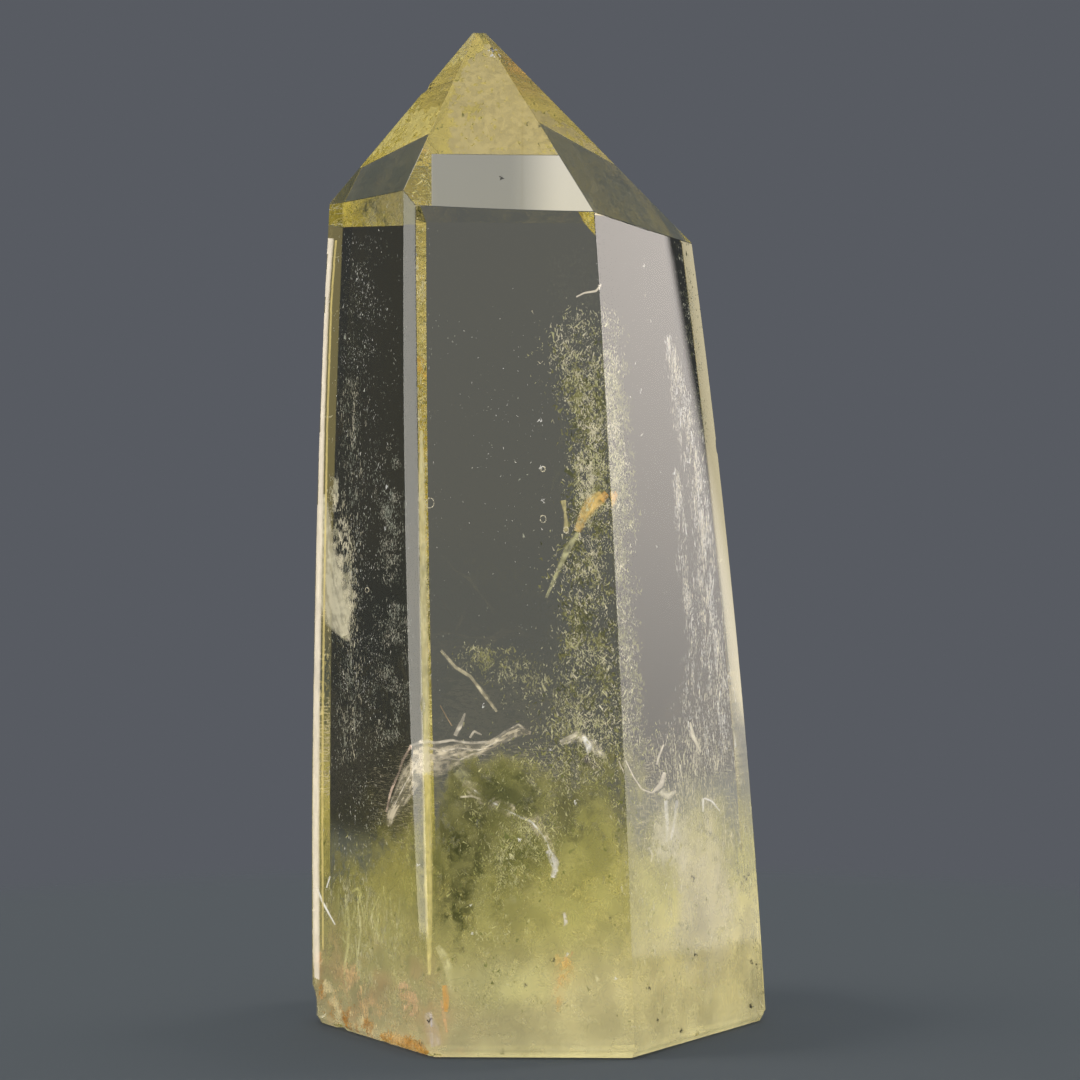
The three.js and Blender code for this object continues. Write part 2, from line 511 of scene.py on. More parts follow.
def studio_angles(tree):
    """Azimuth and elevation of each direction, in degrees"""
    split = add_node(tree, "SeparateXYZ", add_node(tree, "TexCoord").outputs["Generated"])
    x, y, z = split.outputs
    azimuth = math_node(tree, "MULTIPLY", math_node(tree, "ARCTAN2", x, y), 180 / math.pi)
    elevation = math_node(tree, "MULTIPLY", math_node(tree, "ARCSINE", z), 180 / math.pi)
    return azimuth, elevation


def studio_light(tree):
    """Colour of the studio in each direction"""
    azimuth, elevation = studio_angles(tree)
    colour = (*STUDIO_FILL, 1)
    for name, ((left, right), (low, high), (side, lower, upper), tint) in STUDIO_PANELS.items():
        angle = azimuth
        if name in PANEL_SLANTS:
            angle = math_node(tree, "MULTIPLY_ADD", elevation, PANEL_SLANTS[name], azimuth)
        if right > 180:
            angle = math_node(tree, "WRAP", azimuth, 360.0, 0.0)
        inside = soft_step(tree, angle, left, side)
        for edge in (
            soft_step(tree, angle, right, side, rising=False),
            soft_step(tree, elevation, low, lower),
            soft_step(tree, elevation, high, upper, rising=False),
        ):
            inside = math_node(tree, "MULTIPLY", inside, edge)
        mix = add_node(tree, "Mix", inside)
        mix.data_type = "RGBA"
        feed(tree, mix.inputs[6], colour)
        feed(tree, mix.inputs[7], (*tint, 1))
        colour = mix.outputs[2]
    return colour


def make_surroundings():
    """Soft panels all round, and a plain backdrop where the camera looks past the stone"""
    world = bpy.data.worlds.new("studio")
    bpy.context.scene.world = world
    world.use_nodes = True
    tree = world.node_tree
    tree.nodes.clear()
    studio = add_node(tree, "Background", studio_light(tree))
    plain = add_node(tree, "Background", (*BACKDROP, 1))
    seen = add_node(tree, "LightPath").outputs["Is Camera Ray"]
    choice = add_node(tree, "MixShader", seen, studio.outputs[0], plain.outputs[0])
    add_node(tree, "OutputWorld", choice.outputs[0])
    world.cycles.sampling_method = "MANUAL"
    world.cycles.sample_map_resolution = 1024


def make_lamps(lit_pieces, edge_piece):
    """Soft lamps that light only the pieces inside the stone, one of them only the frosted edge and veils"""
    lit = bpy.data.collections.new("inside_of_stone")
    for piece in lit_pieces:
        lit.objects.link(piece)
    edge = bpy.data.collections.new("edge_of_stone")
    edge.objects.link(edge_piece)
    aim = Vector((0, 0, APEX.z * MM / 3))
    for name, (azimuth, elevation, width, power, colour) in INSIDE_LAMPS.items():
        data = bpy.data.lights.new(name, "AREA")
        data.shape = "DISK"
        data.size = width
        data.energy = power
        data.color = colour
        data.cycles.use_multiple_importance_sampling = False
        data.use_shadow = False
        lamp = new_object(name, data)
        turn, rise = math.radians(azimuth), math.radians(elevation)
        level = math.cos(rise)
        away = Vector((math.sin(turn) * level, math.cos(turn) * level, math.sin(rise)))
        lamp.location = aim + away * LAMP_DISTANCE
        lamp.rotation_euler = away.to_track_quat("Z", "Y").to_euler()
        lamp.visible_camera = False
        lamp.visible_glossy = False
        lamp.visible_transmission = False
        lamp.light_linking.receiver_collection = edge if name == EDGE_LAMP else lit


def set_light_paths():
    scene = bpy.context.scene
    scene.view_settings.view_transform = "Standard"
    scene.cycles.max_bounces = 13
    scene.cycles.transmission_bounces = 11
    scene.cycles.glossy_bounces = 9
    scene.cycles.diffuse_bounces = 0
    scene.cycles.transparent_max_bounces = 40
    scene.cycles.caustics_reflective = False
    scene.cycles.caustics_refractive = False
    scene.cycles.use_denoising = True


def roominess(points):
    """Distance from each point, in the stone's own millimetres, to the nearest face"""
    room = points[:, 2].copy()
    for azimuth, distance, lean, bow in SIDE_FACES.values():
        flat = outward(azimuth)
        along = 2 * points[:, 2] / SHOULDER_HEIGHT - 1
        wall = distance - points[:, 2] * math.tan(math.radians(lean)) + bow * (1 - along * along)
        room = np.minimum(room, wall - points[:, 0] * flat.x - points[:, 1] * flat.y)
    for azimuth, rise in TIP_FACETS.values():
        room = np.minimum(room, (np.array(APEX) - points) @ np.array(tip_normal(azimuth, rise)))
    return room


def stone_planes(height):
    """Outward normals and distances of the side faces, as they are near a height, and of the tip facets"""
    normals, reaches = [], []
    along = 2 * height / SHOULDER_HEIGHT - 1
    for azimuth, distance, lean, bow in SIDE_FACES.values():
        normal = outward(azimuth) + Vector((0, 0, math.tan(math.radians(lean))))
        normals.append(np.array(normal / normal.length))
        reaches.append((distance + bow * (1 - along * along)) / normal.length)
    for azimuth, rise in TIP_FACETS.values():
        normal = tip_normal(azimuth, rise)
        normals.append(np.array(normal))
        reaches.append(normal.dot(APEX))
    return np.array(normals), np.array(reaches)


def sight_lines(pixels):
    """Directions from the camera through pixels of the image"""
    across = (pixels[:, 0] - IMAGE_WIDTH_PX / 2) / FOCAL_PX
    up = (IMAGE_WIDTH_PX / 2 - pixels[:, 1]) / FOCAL_PX
    pitch = math.radians(CAMERA_PITCH_DOWN)
    forward = math.cos(pitch) + up * math.sin(pitch)
    rays = np.stack((across, forward, up * math.cos(pitch) - math.sin(pitch)), axis=1)
    return rays / np.linalg.norm(rays, axis=1)[:, None]


def seen_inside(pixels, depth):
    """Where the sight line through each pixel of the image is, a depth in millimetres behind the stone's
    surface, and the number of the face that it enters by"""
    pixels, depth = np.asarray(pixels, float), np.asarray(depth, float)
    rays = sight_lines(pixels)
    height = (IMAGE_FOOT_ROW - float(np.mean(pixels[:, 1]))) / PX_PER_MM
    normals, reaches = stone_planes(height)
    facing = rays @ normals.T
    distance = (reaches - normals @ np.array(CAMERA_PLACE)) / np.where(facing < 0, facing, np.nan)
    distance = np.where(facing < 0, distance, -np.inf)
    face = np.argmax(distance, axis=1)
    hit = np.array(CAMERA_PLACE) + rays * distance[np.arange(len(rays)), face][:, None]
    normal = normals[face]
    cosine = -np.sum(rays * normal, axis=1)
    bent_cosine = np.sqrt(1 - (1 - cosine**2) / QUARTZ_IOR**2)
    bent = rays / QUARTZ_IOR + normal * (cosine / QUARTZ_IOR - bent_cosine)[:, None]
    return hit + bent * np.broadcast_to(depth, len(rays))[:, None], face


def seen_by_rows(pixels, depths):
    """seen_inside in bands of rows, so that the bow of the faces is followed"""
    points, faces = np.zeros((len(pixels), 3)), np.zeros(len(pixels), int)
    bands = np.floor(pixels[:, 1] / SIGHT_BAND_ROWS)
    for band in np.unique(bands):
        chosen = bands == band
        points[chosen], faces[chosen] = seen_inside(pixels[chosen], depths[chosen])
    return points, faces


def cloud_noise(points, size, seed, octaves=3):
    """Smooth random values from 0 to 1 at points, with patches of about the given size"""
    total, weight = np.zeros(len(points)), 0.0
    for octave in range(octaves):
        rng = np.random.default_rng(seed + octave)
        lattice = rng.random((32, 32, 32))
        scaled = points * (2**octave) / np.array(size)
        cell = np.floor(scaled).astype(int)
        part = scaled - cell
        part = part * part * (3 - 2 * part)
        value = np.zeros(len(points))
        for corner in np.ndindex(2, 2, 2):
            index = (cell + corner) % 32
            share = np.prod(np.where(np.array(corner) == 1, part, 1 - part), axis=1)
            value += share * lattice[index[:, 0], index[:, 1], index[:, 2]]
        total += value * 0.5**octave
        weight += 0.5**octave
    return total / weight


def strands(points, size, width, seed):
    """Near 1 on thin winding threads that run through space, about the given size apart, and 0 elsewhere"""
    first = cloud_noise(points, size, seed, octaves=2) - 0.5
    second = cloud_noise(points, size, seed + 50, octaves=2) - 0.5
    return np.exp(-(first**2 + second**2) / width**2)


def ramp(values, low, high):
    share = np.clip((values - low) / (high - low), 0, 1)
    return share * share * (3 - 2 * share)


def mixed(share, first, second):
    """Colours between two, one row to each share"""
    share = np.asarray(share)[:, None]
    return np.array(first) * (1 - share) + np.array(second) * share


# Meshes whose corners carry their own colour and cover
def painted_mesh(name, points, faces, colours, material):
    """An object from an array of points in the stone's own millimetres, with a colour and cover at each"""
    used, numbers = np.unique(np.asarray(faces).ravel(), return_inverse=True)
    points, colours, faces = points[used], colours[used], numbers.reshape(np.shape(faces))
    mesh = bpy.data.meshes.new(name)
    corners = faces.shape[1]
    mesh.vertices.add(len(points))
    mesh.vertices.foreach_set("co", ((points - np.array(AXIS_OFFSET)) * MM).ravel())
    mesh.loops.add(len(faces) * corners)
    mesh.loops.foreach_set("vertex_index", faces.ravel())
    mesh.polygons.add(len(faces))
    mesh.polygons.foreach_set("loop_start", np.arange(len(faces)) * corners)
    mesh.update(calc_edges=True)
    shade = mesh.color_attributes.new("shade", "FLOAT_COLOR", "POINT")
    shade.data.foreach_set("color", np.clip(colours, 0, 1).ravel())
    mesh.materials.append(material)
    return new_object(name, mesh)


def grid_faces(rows, columns, closed=False, start=0):
    """Four-sided faces between rows of points, whose ends may be joined into rings"""
    faces = []
    for row in range(rows - 1):
        lower, upper = start + row * columns, start + (row + 1) * columns
        for i in range(columns if closed else columns - 1):
            j = (i + 1) % columns
            faces.append((lower + i, lower + j, upper + j, upper + i))
    return faces


def with_cover(colours, cover):
    return np.concatenate((colours, np.broadcast_to(cover, len(colours))[:, None]), axis=1)


def inclusion_material(name, through_share=0.5, covered=False):
    """Matter inside the quartz that scatters light from both sides, tinted corner by corner"""
    material = bpy.data.materials.new(name)
    material.use_nodes = True
    tree = material.node_tree
    tree.nodes.clear()
    tint = add_node(tree, "VertexColor")
    tint.layer_name = "shade"
    front = add_node(tree, "BsdfDiffuse", tint.outputs["Color"])
    through = add_node(tree, "BsdfTranslucent", tint.outputs["Color"])
    look = add_node(tree, "MixShader", through_share, front.outputs[0], through.outputs[0])
    if covered:
        clear = add_node(tree, "BsdfTransparent")
        look = add_node(tree, "MixShader", tint.outputs["Alpha"], clear.outputs[0], look.outputs[0])
        look.name = "cover"
    add_node(tree, "OutputMaterial", look.outputs[0])
    return material


def make_woolly(material):
    """Breaks the cover of a cloud up into fine threads, above the foot"""
    tree = material.node_tree
    blend = tree.nodes["cover"]
    plain = blend.inputs[0].links[0].from_socket
    place = add_node(tree, "TexCoord").outputs["Object"]
    height = add_node(tree, "SeparateXYZ", place).outputs["Z"]
    threads = add_node(tree, "TexNoise", place)
    for name, value in WOOL_TEXTURE.items():
        threads.inputs[name].default_value = value
    low, high = WOOL_CONTRAST
    thread = soft_step(tree, threads.outputs["Fac"], (low + high) / 2, high - low)
    change = math_node(tree, "MULTIPLY_ADD", thread, WOOL_GAIN, WOOL_THIN - 1)
    start, end = WOOL_HEIGHTS
    share = soft_step(tree, height, (start + end) / 2 * MM, (end - start) * MM)
    factor = math_node(tree, "MULTIPLY_ADD", change, share, 1.0)
    tree.links.new(math_node(tree, "MULTIPLY", plain, factor), blend.inputs[0])


def random_frames(rng, count, upright):
    """A long and a wide direction for each flake. upright, from 0 to 1, turns the long one upright."""
    first = rng.normal(size=(count, 3))
    first /= np.linalg.norm(first, axis=1)[:, None]
    upright = np.broadcast_to(upright, count)[:, None]
    first = first * (1 - upright) + np.array((0, 0, 1.0)) * upright * np.sign(first[:, 2:3])
    first /= np.linalg.norm(first, axis=1)[:, None]
    second = rng.normal(size=(count, 3))
    second -= first * np.sum(first * second, axis=1)[:, None]
    second /= np.linalg.norm(second, axis=1)[:, None]
    return first, second


def flake_mesh(name, material, corners, colours):
    """One mesh of loose three-cornered flakes, without those that come too near the surface"""
    keep = np.min(roominess(corners.reshape(-1, 3)).reshape(-1, 3), axis=1) > FLAKE_MARGIN
    points = corners[keep].reshape(-1, 3)
    faces = np.arange(len(points)).reshape(-1, 3)
    shade = with_cover(np.repeat(colours[keep], 3, axis=0), 1.0)
    return painted_mesh(name, points, faces, shade, material)


def make_flakes(name, material, points, sizes, stretch, upright, colours, seed):
    """Loose flakes at points, some of them drawn out into splinters"""
    rng = np.random.default_rng(seed)
    first, second = random_frames(rng, len(points), upright)
    long = first * (sizes * stretch)[:, None]
    wide = second * sizes[:, None]
    shape = rng.uniform(0.6, 1.4, size=(len(points), 3, 1))
    foot = points - long * 0.5 * shape[:, 0] - wide * 0.4 * shape[:, 1]
    side = points - long * 0.4 * shape[:, 1] + wide * 0.5 * shape[:, 2]
    head = points + long * 0.6 * shape[:, 2]
    return flake_mesh(name, material, np.stack((foot, side, head), axis=1), colours)


# Milky quartz in the foot
FOG_INSETS = (0.35, 0.9, 1.7, 2.8, 4.4, 6.6, 9.5)
FOG_TOP = 30.0
FOG_ROWS = 60
FOG_COLUMNS = 24
FOG_MOTTLE = (0.86, 0.26)
FOG_FLOOR_RINGS = (0.86, 0.7, 0.52, 0.34, 0.16)
FOG_LEAN = 0.16
FOG_COVER = 0.42
# Painted light and shade across the milky cloud: a factor on its colour, darker towards the left and lighter
# towards the right, as a level and a change per mm, with its limits
FOG_PAINTED_SIDE_SHADE = (0.95, 0.018)
FOG_PAINTED_SIDE_LIMITS = (0.72, 1.08)
FOG_FLOOR = 0.25
FOG_FLOOR_RISE = 0.8
# The cloud's ragged upper edge: mean height, swing, and how far it fades above and below
FOG_EDGE = 15.5
FOG_EDGE_SWING = 11.0
FOG_EDGE_FADE = (4.0, 9.5)
FOG_EDGE_POWER = 1.5
FOG_WISP_COVER = (0.55, 0.9)
FOG_MIDDLE_HEIGHTS = (3.5, 11.0)
FOG_GREEN_HEIGHTS = (8.0, 16.0)
FOG_PATCH_EDGE = (-1.25, -0.45)
FOG_PATCH_FRAYING = 0.9
FOG_RUST_REACH = (10.0, 17.0)
FOG_RUST_COVER = 0.8
# Noise in the cloud: size across, back and up in mm, and seed
FOG_EDGE_NOISE = ((6.0, 6.0, 7.0), 61)
FOG_LUMP_NOISE = ((2.2, 2.2, 2.6), 65)
FOG_WISP_NOISE = ((1.4, 1.4, 3.2), 71)
FOG_GREEN_NOISE = ((3.0, 3.0, 3.0), 81)
FOG_RUST_NOISE = ((1.6, 1.6, 1.6), 91)
WOOL_TEXTURE = {"Scale": 700, "Detail": 3, "Roughness": 0.62, "Distortion": 0.6}
WOOL_CONTRAST = (0.43, 0.59)
WOOL_THIN = 0.1
WOOL_GAIN = 2.1
WOOL_HEIGHTS = (-1.0, 9.0)
FOG_FOOT = (0.695, 0.645, 0.375)
FOG_MIDDLE = (0.56, 0.53, 0.21)
FOG_GREEN = (0.42, 0.41, 0.13)
# Soft patches in the cloud: image column and row, depth, half width and half height, colour, cover
FOG_PATCHES = (
    ((472, 850), 4.2, (3.4, 5.6), (0.09, 0.10, 0.03), 0.62),
    ((454, 915), 3.2, (1.8, 3.6), (0.10, 0.11, 0.03), 0.55),
    ((512, 900), 4.6, (3.0, 2.8), (0.19, 0.19, 0.06), 0.4),
    ((590, 845), 2.6, (2.6, 5.0), (0.46, 0.44, 0.15), 0.4),
    ((545, 915), 3.4, (3.6, 3.2), (0.52, 0.49, 0.19), 0.36),
    ((600, 790), 4.0, (2.6, 3.4), (0.26, 0.26, 0.12), 0.35),
    ((700, 900), 3.0, (5.0, 8.0), (0.58, 0.545, 0.38), 0.5),
    ((668, 840), 2.5, (2.6, 3.2), (0.70, 0.67, 0.55), 0.28),
    ((505, 792), 4.5, (5.5, 2.6), (0.12, 0.13, 0.05), 0.5),
    ((575, 812), 4.5, (3.0, 3.6), (0.17, 0.17, 0.08), 0.42),
    ((522, 852), 4.8, (3.4, 2.6), (0.15, 0.16, 0.05), 0.45),
    ((500, 985), 2.5, (5.0, 2.4), (0.72, 0.69, 0.36), 0.35),
)
RUST_PALE = (0.84, 0.62, 0.34)
RUST_DEEP = (0.60, 0.33, 0.08)


def fog_cover(points, height, wisps):
    top = FOG_EDGE + FOG_EDGE_SWING * (cloud_noise(points, *FOG_EDGE_NOISE) - 0.5)
    above, below = FOG_EDGE_FADE
    cover = ramp(-height, -top - above, -top + below) ** FOG_EDGE_POWER
    cover *= FOG_WISP_COVER[0] + FOG_WISP_COVER[1] * ramp(wisps, 0.3, 0.7)
    return FOG_COVER * cover


def fog_rust(points):
    """Share of rust, near the broken left foot"""
    reach = -points[:, 0] - 0.5 * points[:, 1] - 0.5 * points[:, 2]
    torn = ramp(cloud_noise(points, *FOG_RUST_NOISE), 0.45, 0.62)
    return ramp(reach, *FOG_RUST_REACH) * torn * FOG_RUST_COVER


def fog_shade(points):
    """Colour and cover of the milky cloud"""
    height = points[:, 2] - FOG_LEAN * points[:, 0]
    wisps = cloud_noise(points, *FOG_WISP_NOISE)
    cover = fog_cover(points, height, wisps)
    colours = mixed(ramp(height, *FOG_MIDDLE_HEIGHTS), FOG_FOOT, FOG_MIDDLE)
    deep = ramp(height, *FOG_GREEN_HEIGHTS) * ramp(cloud_noise(points, *FOG_GREEN_NOISE), 0.4, 0.65)
    colours = mixed(deep, colours, FOG_GREEN)
    for spot, depth, (wide, tall), colour, strength in FOG_PATCHES:
        middle = seen_inside([spot], [depth])[0][0]
        reach = np.linalg.norm((points - middle) / (wide, wide, tall), axis=1)
        share = ramp(-(reach + FOG_PATCH_FRAYING * (wisps - 0.5)), *FOG_PATCH_EDGE)
        colours = mixed(share, colours, colour)
        cover = np.maximum(cover, strength * share)
    lumps = ramp(cloud_noise(points, *FOG_LUMP_NOISE), 0.35, 0.65)
    colours *= (FOG_MOTTLE[0] + FOG_MOTTLE[1] * lumps)[:, None]
    colours = mixed(fog_rust(points), colours, RUST_PALE)
    # Painted light and shade: the cloud's colour is darkened towards the left side and lightened towards the
    # right
    colours *= np.clip(FOG_PAINTED_SIDE_SHADE[0] + FOG_PAINTED_SIDE_SHADE[1] * points[:, :1], *FOG_PAINTED_SIDE_LIMITS)
    return with_cover(colours, cover)


def shell_ring(height, inset):
    """Points round the stone's section at a height, the same number at every height"""
    corners = section(height, inset)
    ring = []
    for corner, following in zip(corners, corners[1:] + corners[:1]):
        ring += [corner.lerp(following, step / FOG_COLUMNS) for step in range(FOG_COLUMNS)]
    return np.array(ring)


def make_fog():
    """Milky quartz in the foot: thin shells, one inside the other, each with its own floor"""
    points, faces, start = [], [], 0
    for inset in FOG_INSETS:
        floor = FOG_FLOOR + inset * FOG_FLOOR_RISE
        rings = [shell_ring(height, inset) for height in np.linspace(floor, FOG_TOP, FOG_ROWS)]
        middle = np.mean(rings[0], axis=0)
        rings = [middle + (rings[0] - middle) * share for share in reversed(FOG_FLOOR_RINGS)] + rings
        faces += grid_faces(len(rings), len(rings[0]), closed=True, start=start)
        points += rings
        start += len(rings) * len(rings[0])
    points = np.concatenate(points)
    material = inclusion_material("milky_cloud", covered=True)
    make_woolly(material)
    return painted_mesh("milky_cloud", points, faces, fog_shade(points), material)


# Small plates of milky quartz that lie nearly flat above the mossy cloud
PLATE_FALL = 0.096
PLATE_WOBBLE = 0.018
PLATE_SIZE = 0.34
PLATE_SEED = 700
PLATE_NOISE = ((3.0, 3.0, 5.0), 701)
PLATE_CORNERS = (0, 2.1, 4.2)
# How the patches thin out towards their sides, and towards their top and bottom
PLATE_SIDE_FADE = (0.25, 0.5)
PLATE_LEVEL_FADE = (0.22, 0.36)
# Middle and half size across, the same from front to back, range of heights, count, colour
PLATES = (
    ((-2.2, 6.4), (0.6, 9.0), (14.0, 23.0), 4200, (0.53, 0.49, 0.38)),
    ((12.6, 3.6), (5.2, 4.0), (12.0, 22.0), 700, (0.70, 0.67, 0.45)),
)


def plate_patch(rng, across, back, heights, count, colour):
    """Corners and colours of one patch of plates"""
    turn, reach = rng.uniform(0, 2 * math.pi, count), np.sqrt(rng.random(count))
    x = across[0] + across[1] * reach * np.cos(turn)
    y = back[0] + back[1] * reach * np.sin(turn)
    middle = np.stack((x, y, rng.uniform(*heights, count)), axis=1)
    angles = rng.uniform(0, 2 * math.pi, (count, 1)) + np.array(PLATE_CORNERS)
    slope = rng.normal((0, -PLATE_FALL), PLATE_WOBBLE, (count, 2))
    level = (middle[:, 2] - np.mean(heights)) / (np.ptp(heights) / 2)
    torn = cloud_noise(middle, *PLATE_NOISE)
    torn += PLATE_SIDE_FADE[0] * (PLATE_SIDE_FADE[1] - reach**2)
    torn += PLATE_LEVEL_FADE[0] * (PLATE_LEVEL_FADE[1] - level**2)
    chosen = rng.random(count) < ramp(torn, 0.34, 0.54)
    middle, angles, slope = middle[chosen], angles[chosen], slope[chosen]
    sizes = PLATE_SIZE * rng.lognormal(0, 0.3, (len(middle), 3))
    x, y = sizes * np.cos(angles), sizes * np.sin(angles)
    z = x * slope[:, :1] + y * slope[:, 1:]
    colours = np.array(colour) * rng.uniform(0.8, 1.05, (len(middle), 1))
    return middle[:, None, :] + np.stack((x, y, z), axis=2), colours


def make_plates():
    """Milky plates, edge on to the front and broad from above"""
    rng = np.random.default_rng(PLATE_SEED)
    patches = [plate_patch(rng, *plate) for plate in PLATES]
    corners, colours = (np.concatenate(parts) for parts in zip(*patches))
    return flake_mesh("milky_plates", inclusion_material("milky_plates"), corners, colours)


# Mossy cloud
MOSS_TRIES = 3200000
MOSS_MOST = 190000
MOSS_SEED = 11
MOSS_BOX = ((-17.0, -17.0, 0.3), (21.0, 17.0, 31.0))
MOSS_LEAN = 0.1
# Height of its top at the sides and back, and how much higher it reaches at the front
MOSS_TOP = 17.0
MOSS_FRONT_RISE = 10.0
MOSS_TOP_FADE = 12.0
MOSS_FOOT_GAP = 0.8
MOSS_DENSITY = 0.32
MOSS_LOOSE = 0.05
MOSS_THREAD_WIDTH = 0.075
MOSS_SIZE = 0.06
MOSS_DARK_SIZE = 2.2
MOSS_DARK_STRETCH = 0.4
# Noise in the moss: size across, back and up in mm, and seed
MOSS_PATCH_NOISE = ((5.0, 5.0, 6.5), 21)
MOSS_THREADS = (1.3, 1.3, 1.7)
MOSS_COLOUR_NOISE = ((2.4, 2.4, 3.0), 41)
MOSS_BRIGHT = (0.82, 0.79, 0.42)
MOSS_OLIVE = (0.56, 0.56, 0.22)
MOSS_DARK = (0.20, 0.22, 0.07)


def moss_zone(points):
    """How thickly the moss grows at points, from 0 to 1"""
    height = points[:, 2] - MOSS_LEAN * points[:, 0]
    patches = cloud_noise(points, *MOSS_PATCH_NOISE)
    front = ramp(-points[:, 1], 2.0, 7.0) * ramp(points[:, 0], -9.0, -6.0)
    top = MOSS_TOP + MOSS_FRONT_RISE * front
    zone = ramp(top - height, 0.0, MOSS_TOP_FADE) * ramp(patches, 0.38, 0.6)
    return zone * (1 - MOSS_FOOT_GAP * ramp(-height, -7.0, -2.0))


def make_moss():
    """Mossy growth of fine pale, olive and dark flakes, in threads and torn patches above the foot"""
    rng = np.random.default_rng(MOSS_SEED)
    low, high = np.array(MOSS_BOX)
    points = low + rng.random((MOSS_TRIES, 3)) * (high - low)
    points = points[roominess(points) > MOSS_MARGIN]
    points = points[rng.random(len(points)) < moss_zone(points)]
    threads = strands(points, MOSS_THREADS, MOSS_THREAD_WIDTH, 31)
    keep = rng.random(len(points)) < MOSS_DENSITY * (MOSS_LOOSE + (1 - MOSS_LOOSE) * threads)
    points, threads = points[keep][:MOSS_MOST], threads[keep][:MOSS_MOST]
    count = len(points)
    share = ramp(cloud_noise(points, *MOSS_COLOUR_NOISE), 0.32, 0.68)
    colours = mixed(share, MOSS_OLIVE, MOSS_BRIGHT)
    dark = threads < 0.3
    colours[dark] = np.array(MOSS_DARK)
    colours *= rng.uniform(0.85, 1.1, (count, 1))
    sizes = rng.lognormal(math.log(MOSS_SIZE), 0.35, count) * np.where(dark, MOSS_DARK_SIZE, 1.0)
    stretch = rng.uniform(1.5, 5.0, count) * np.where(dark, MOSS_DARK_STRETCH, 1.0)
    material = inclusion_material("mossy_flakes")
    return make_flakes("mossy_cloud", material, points, sizes, stretch, 0.3, colours, 51)


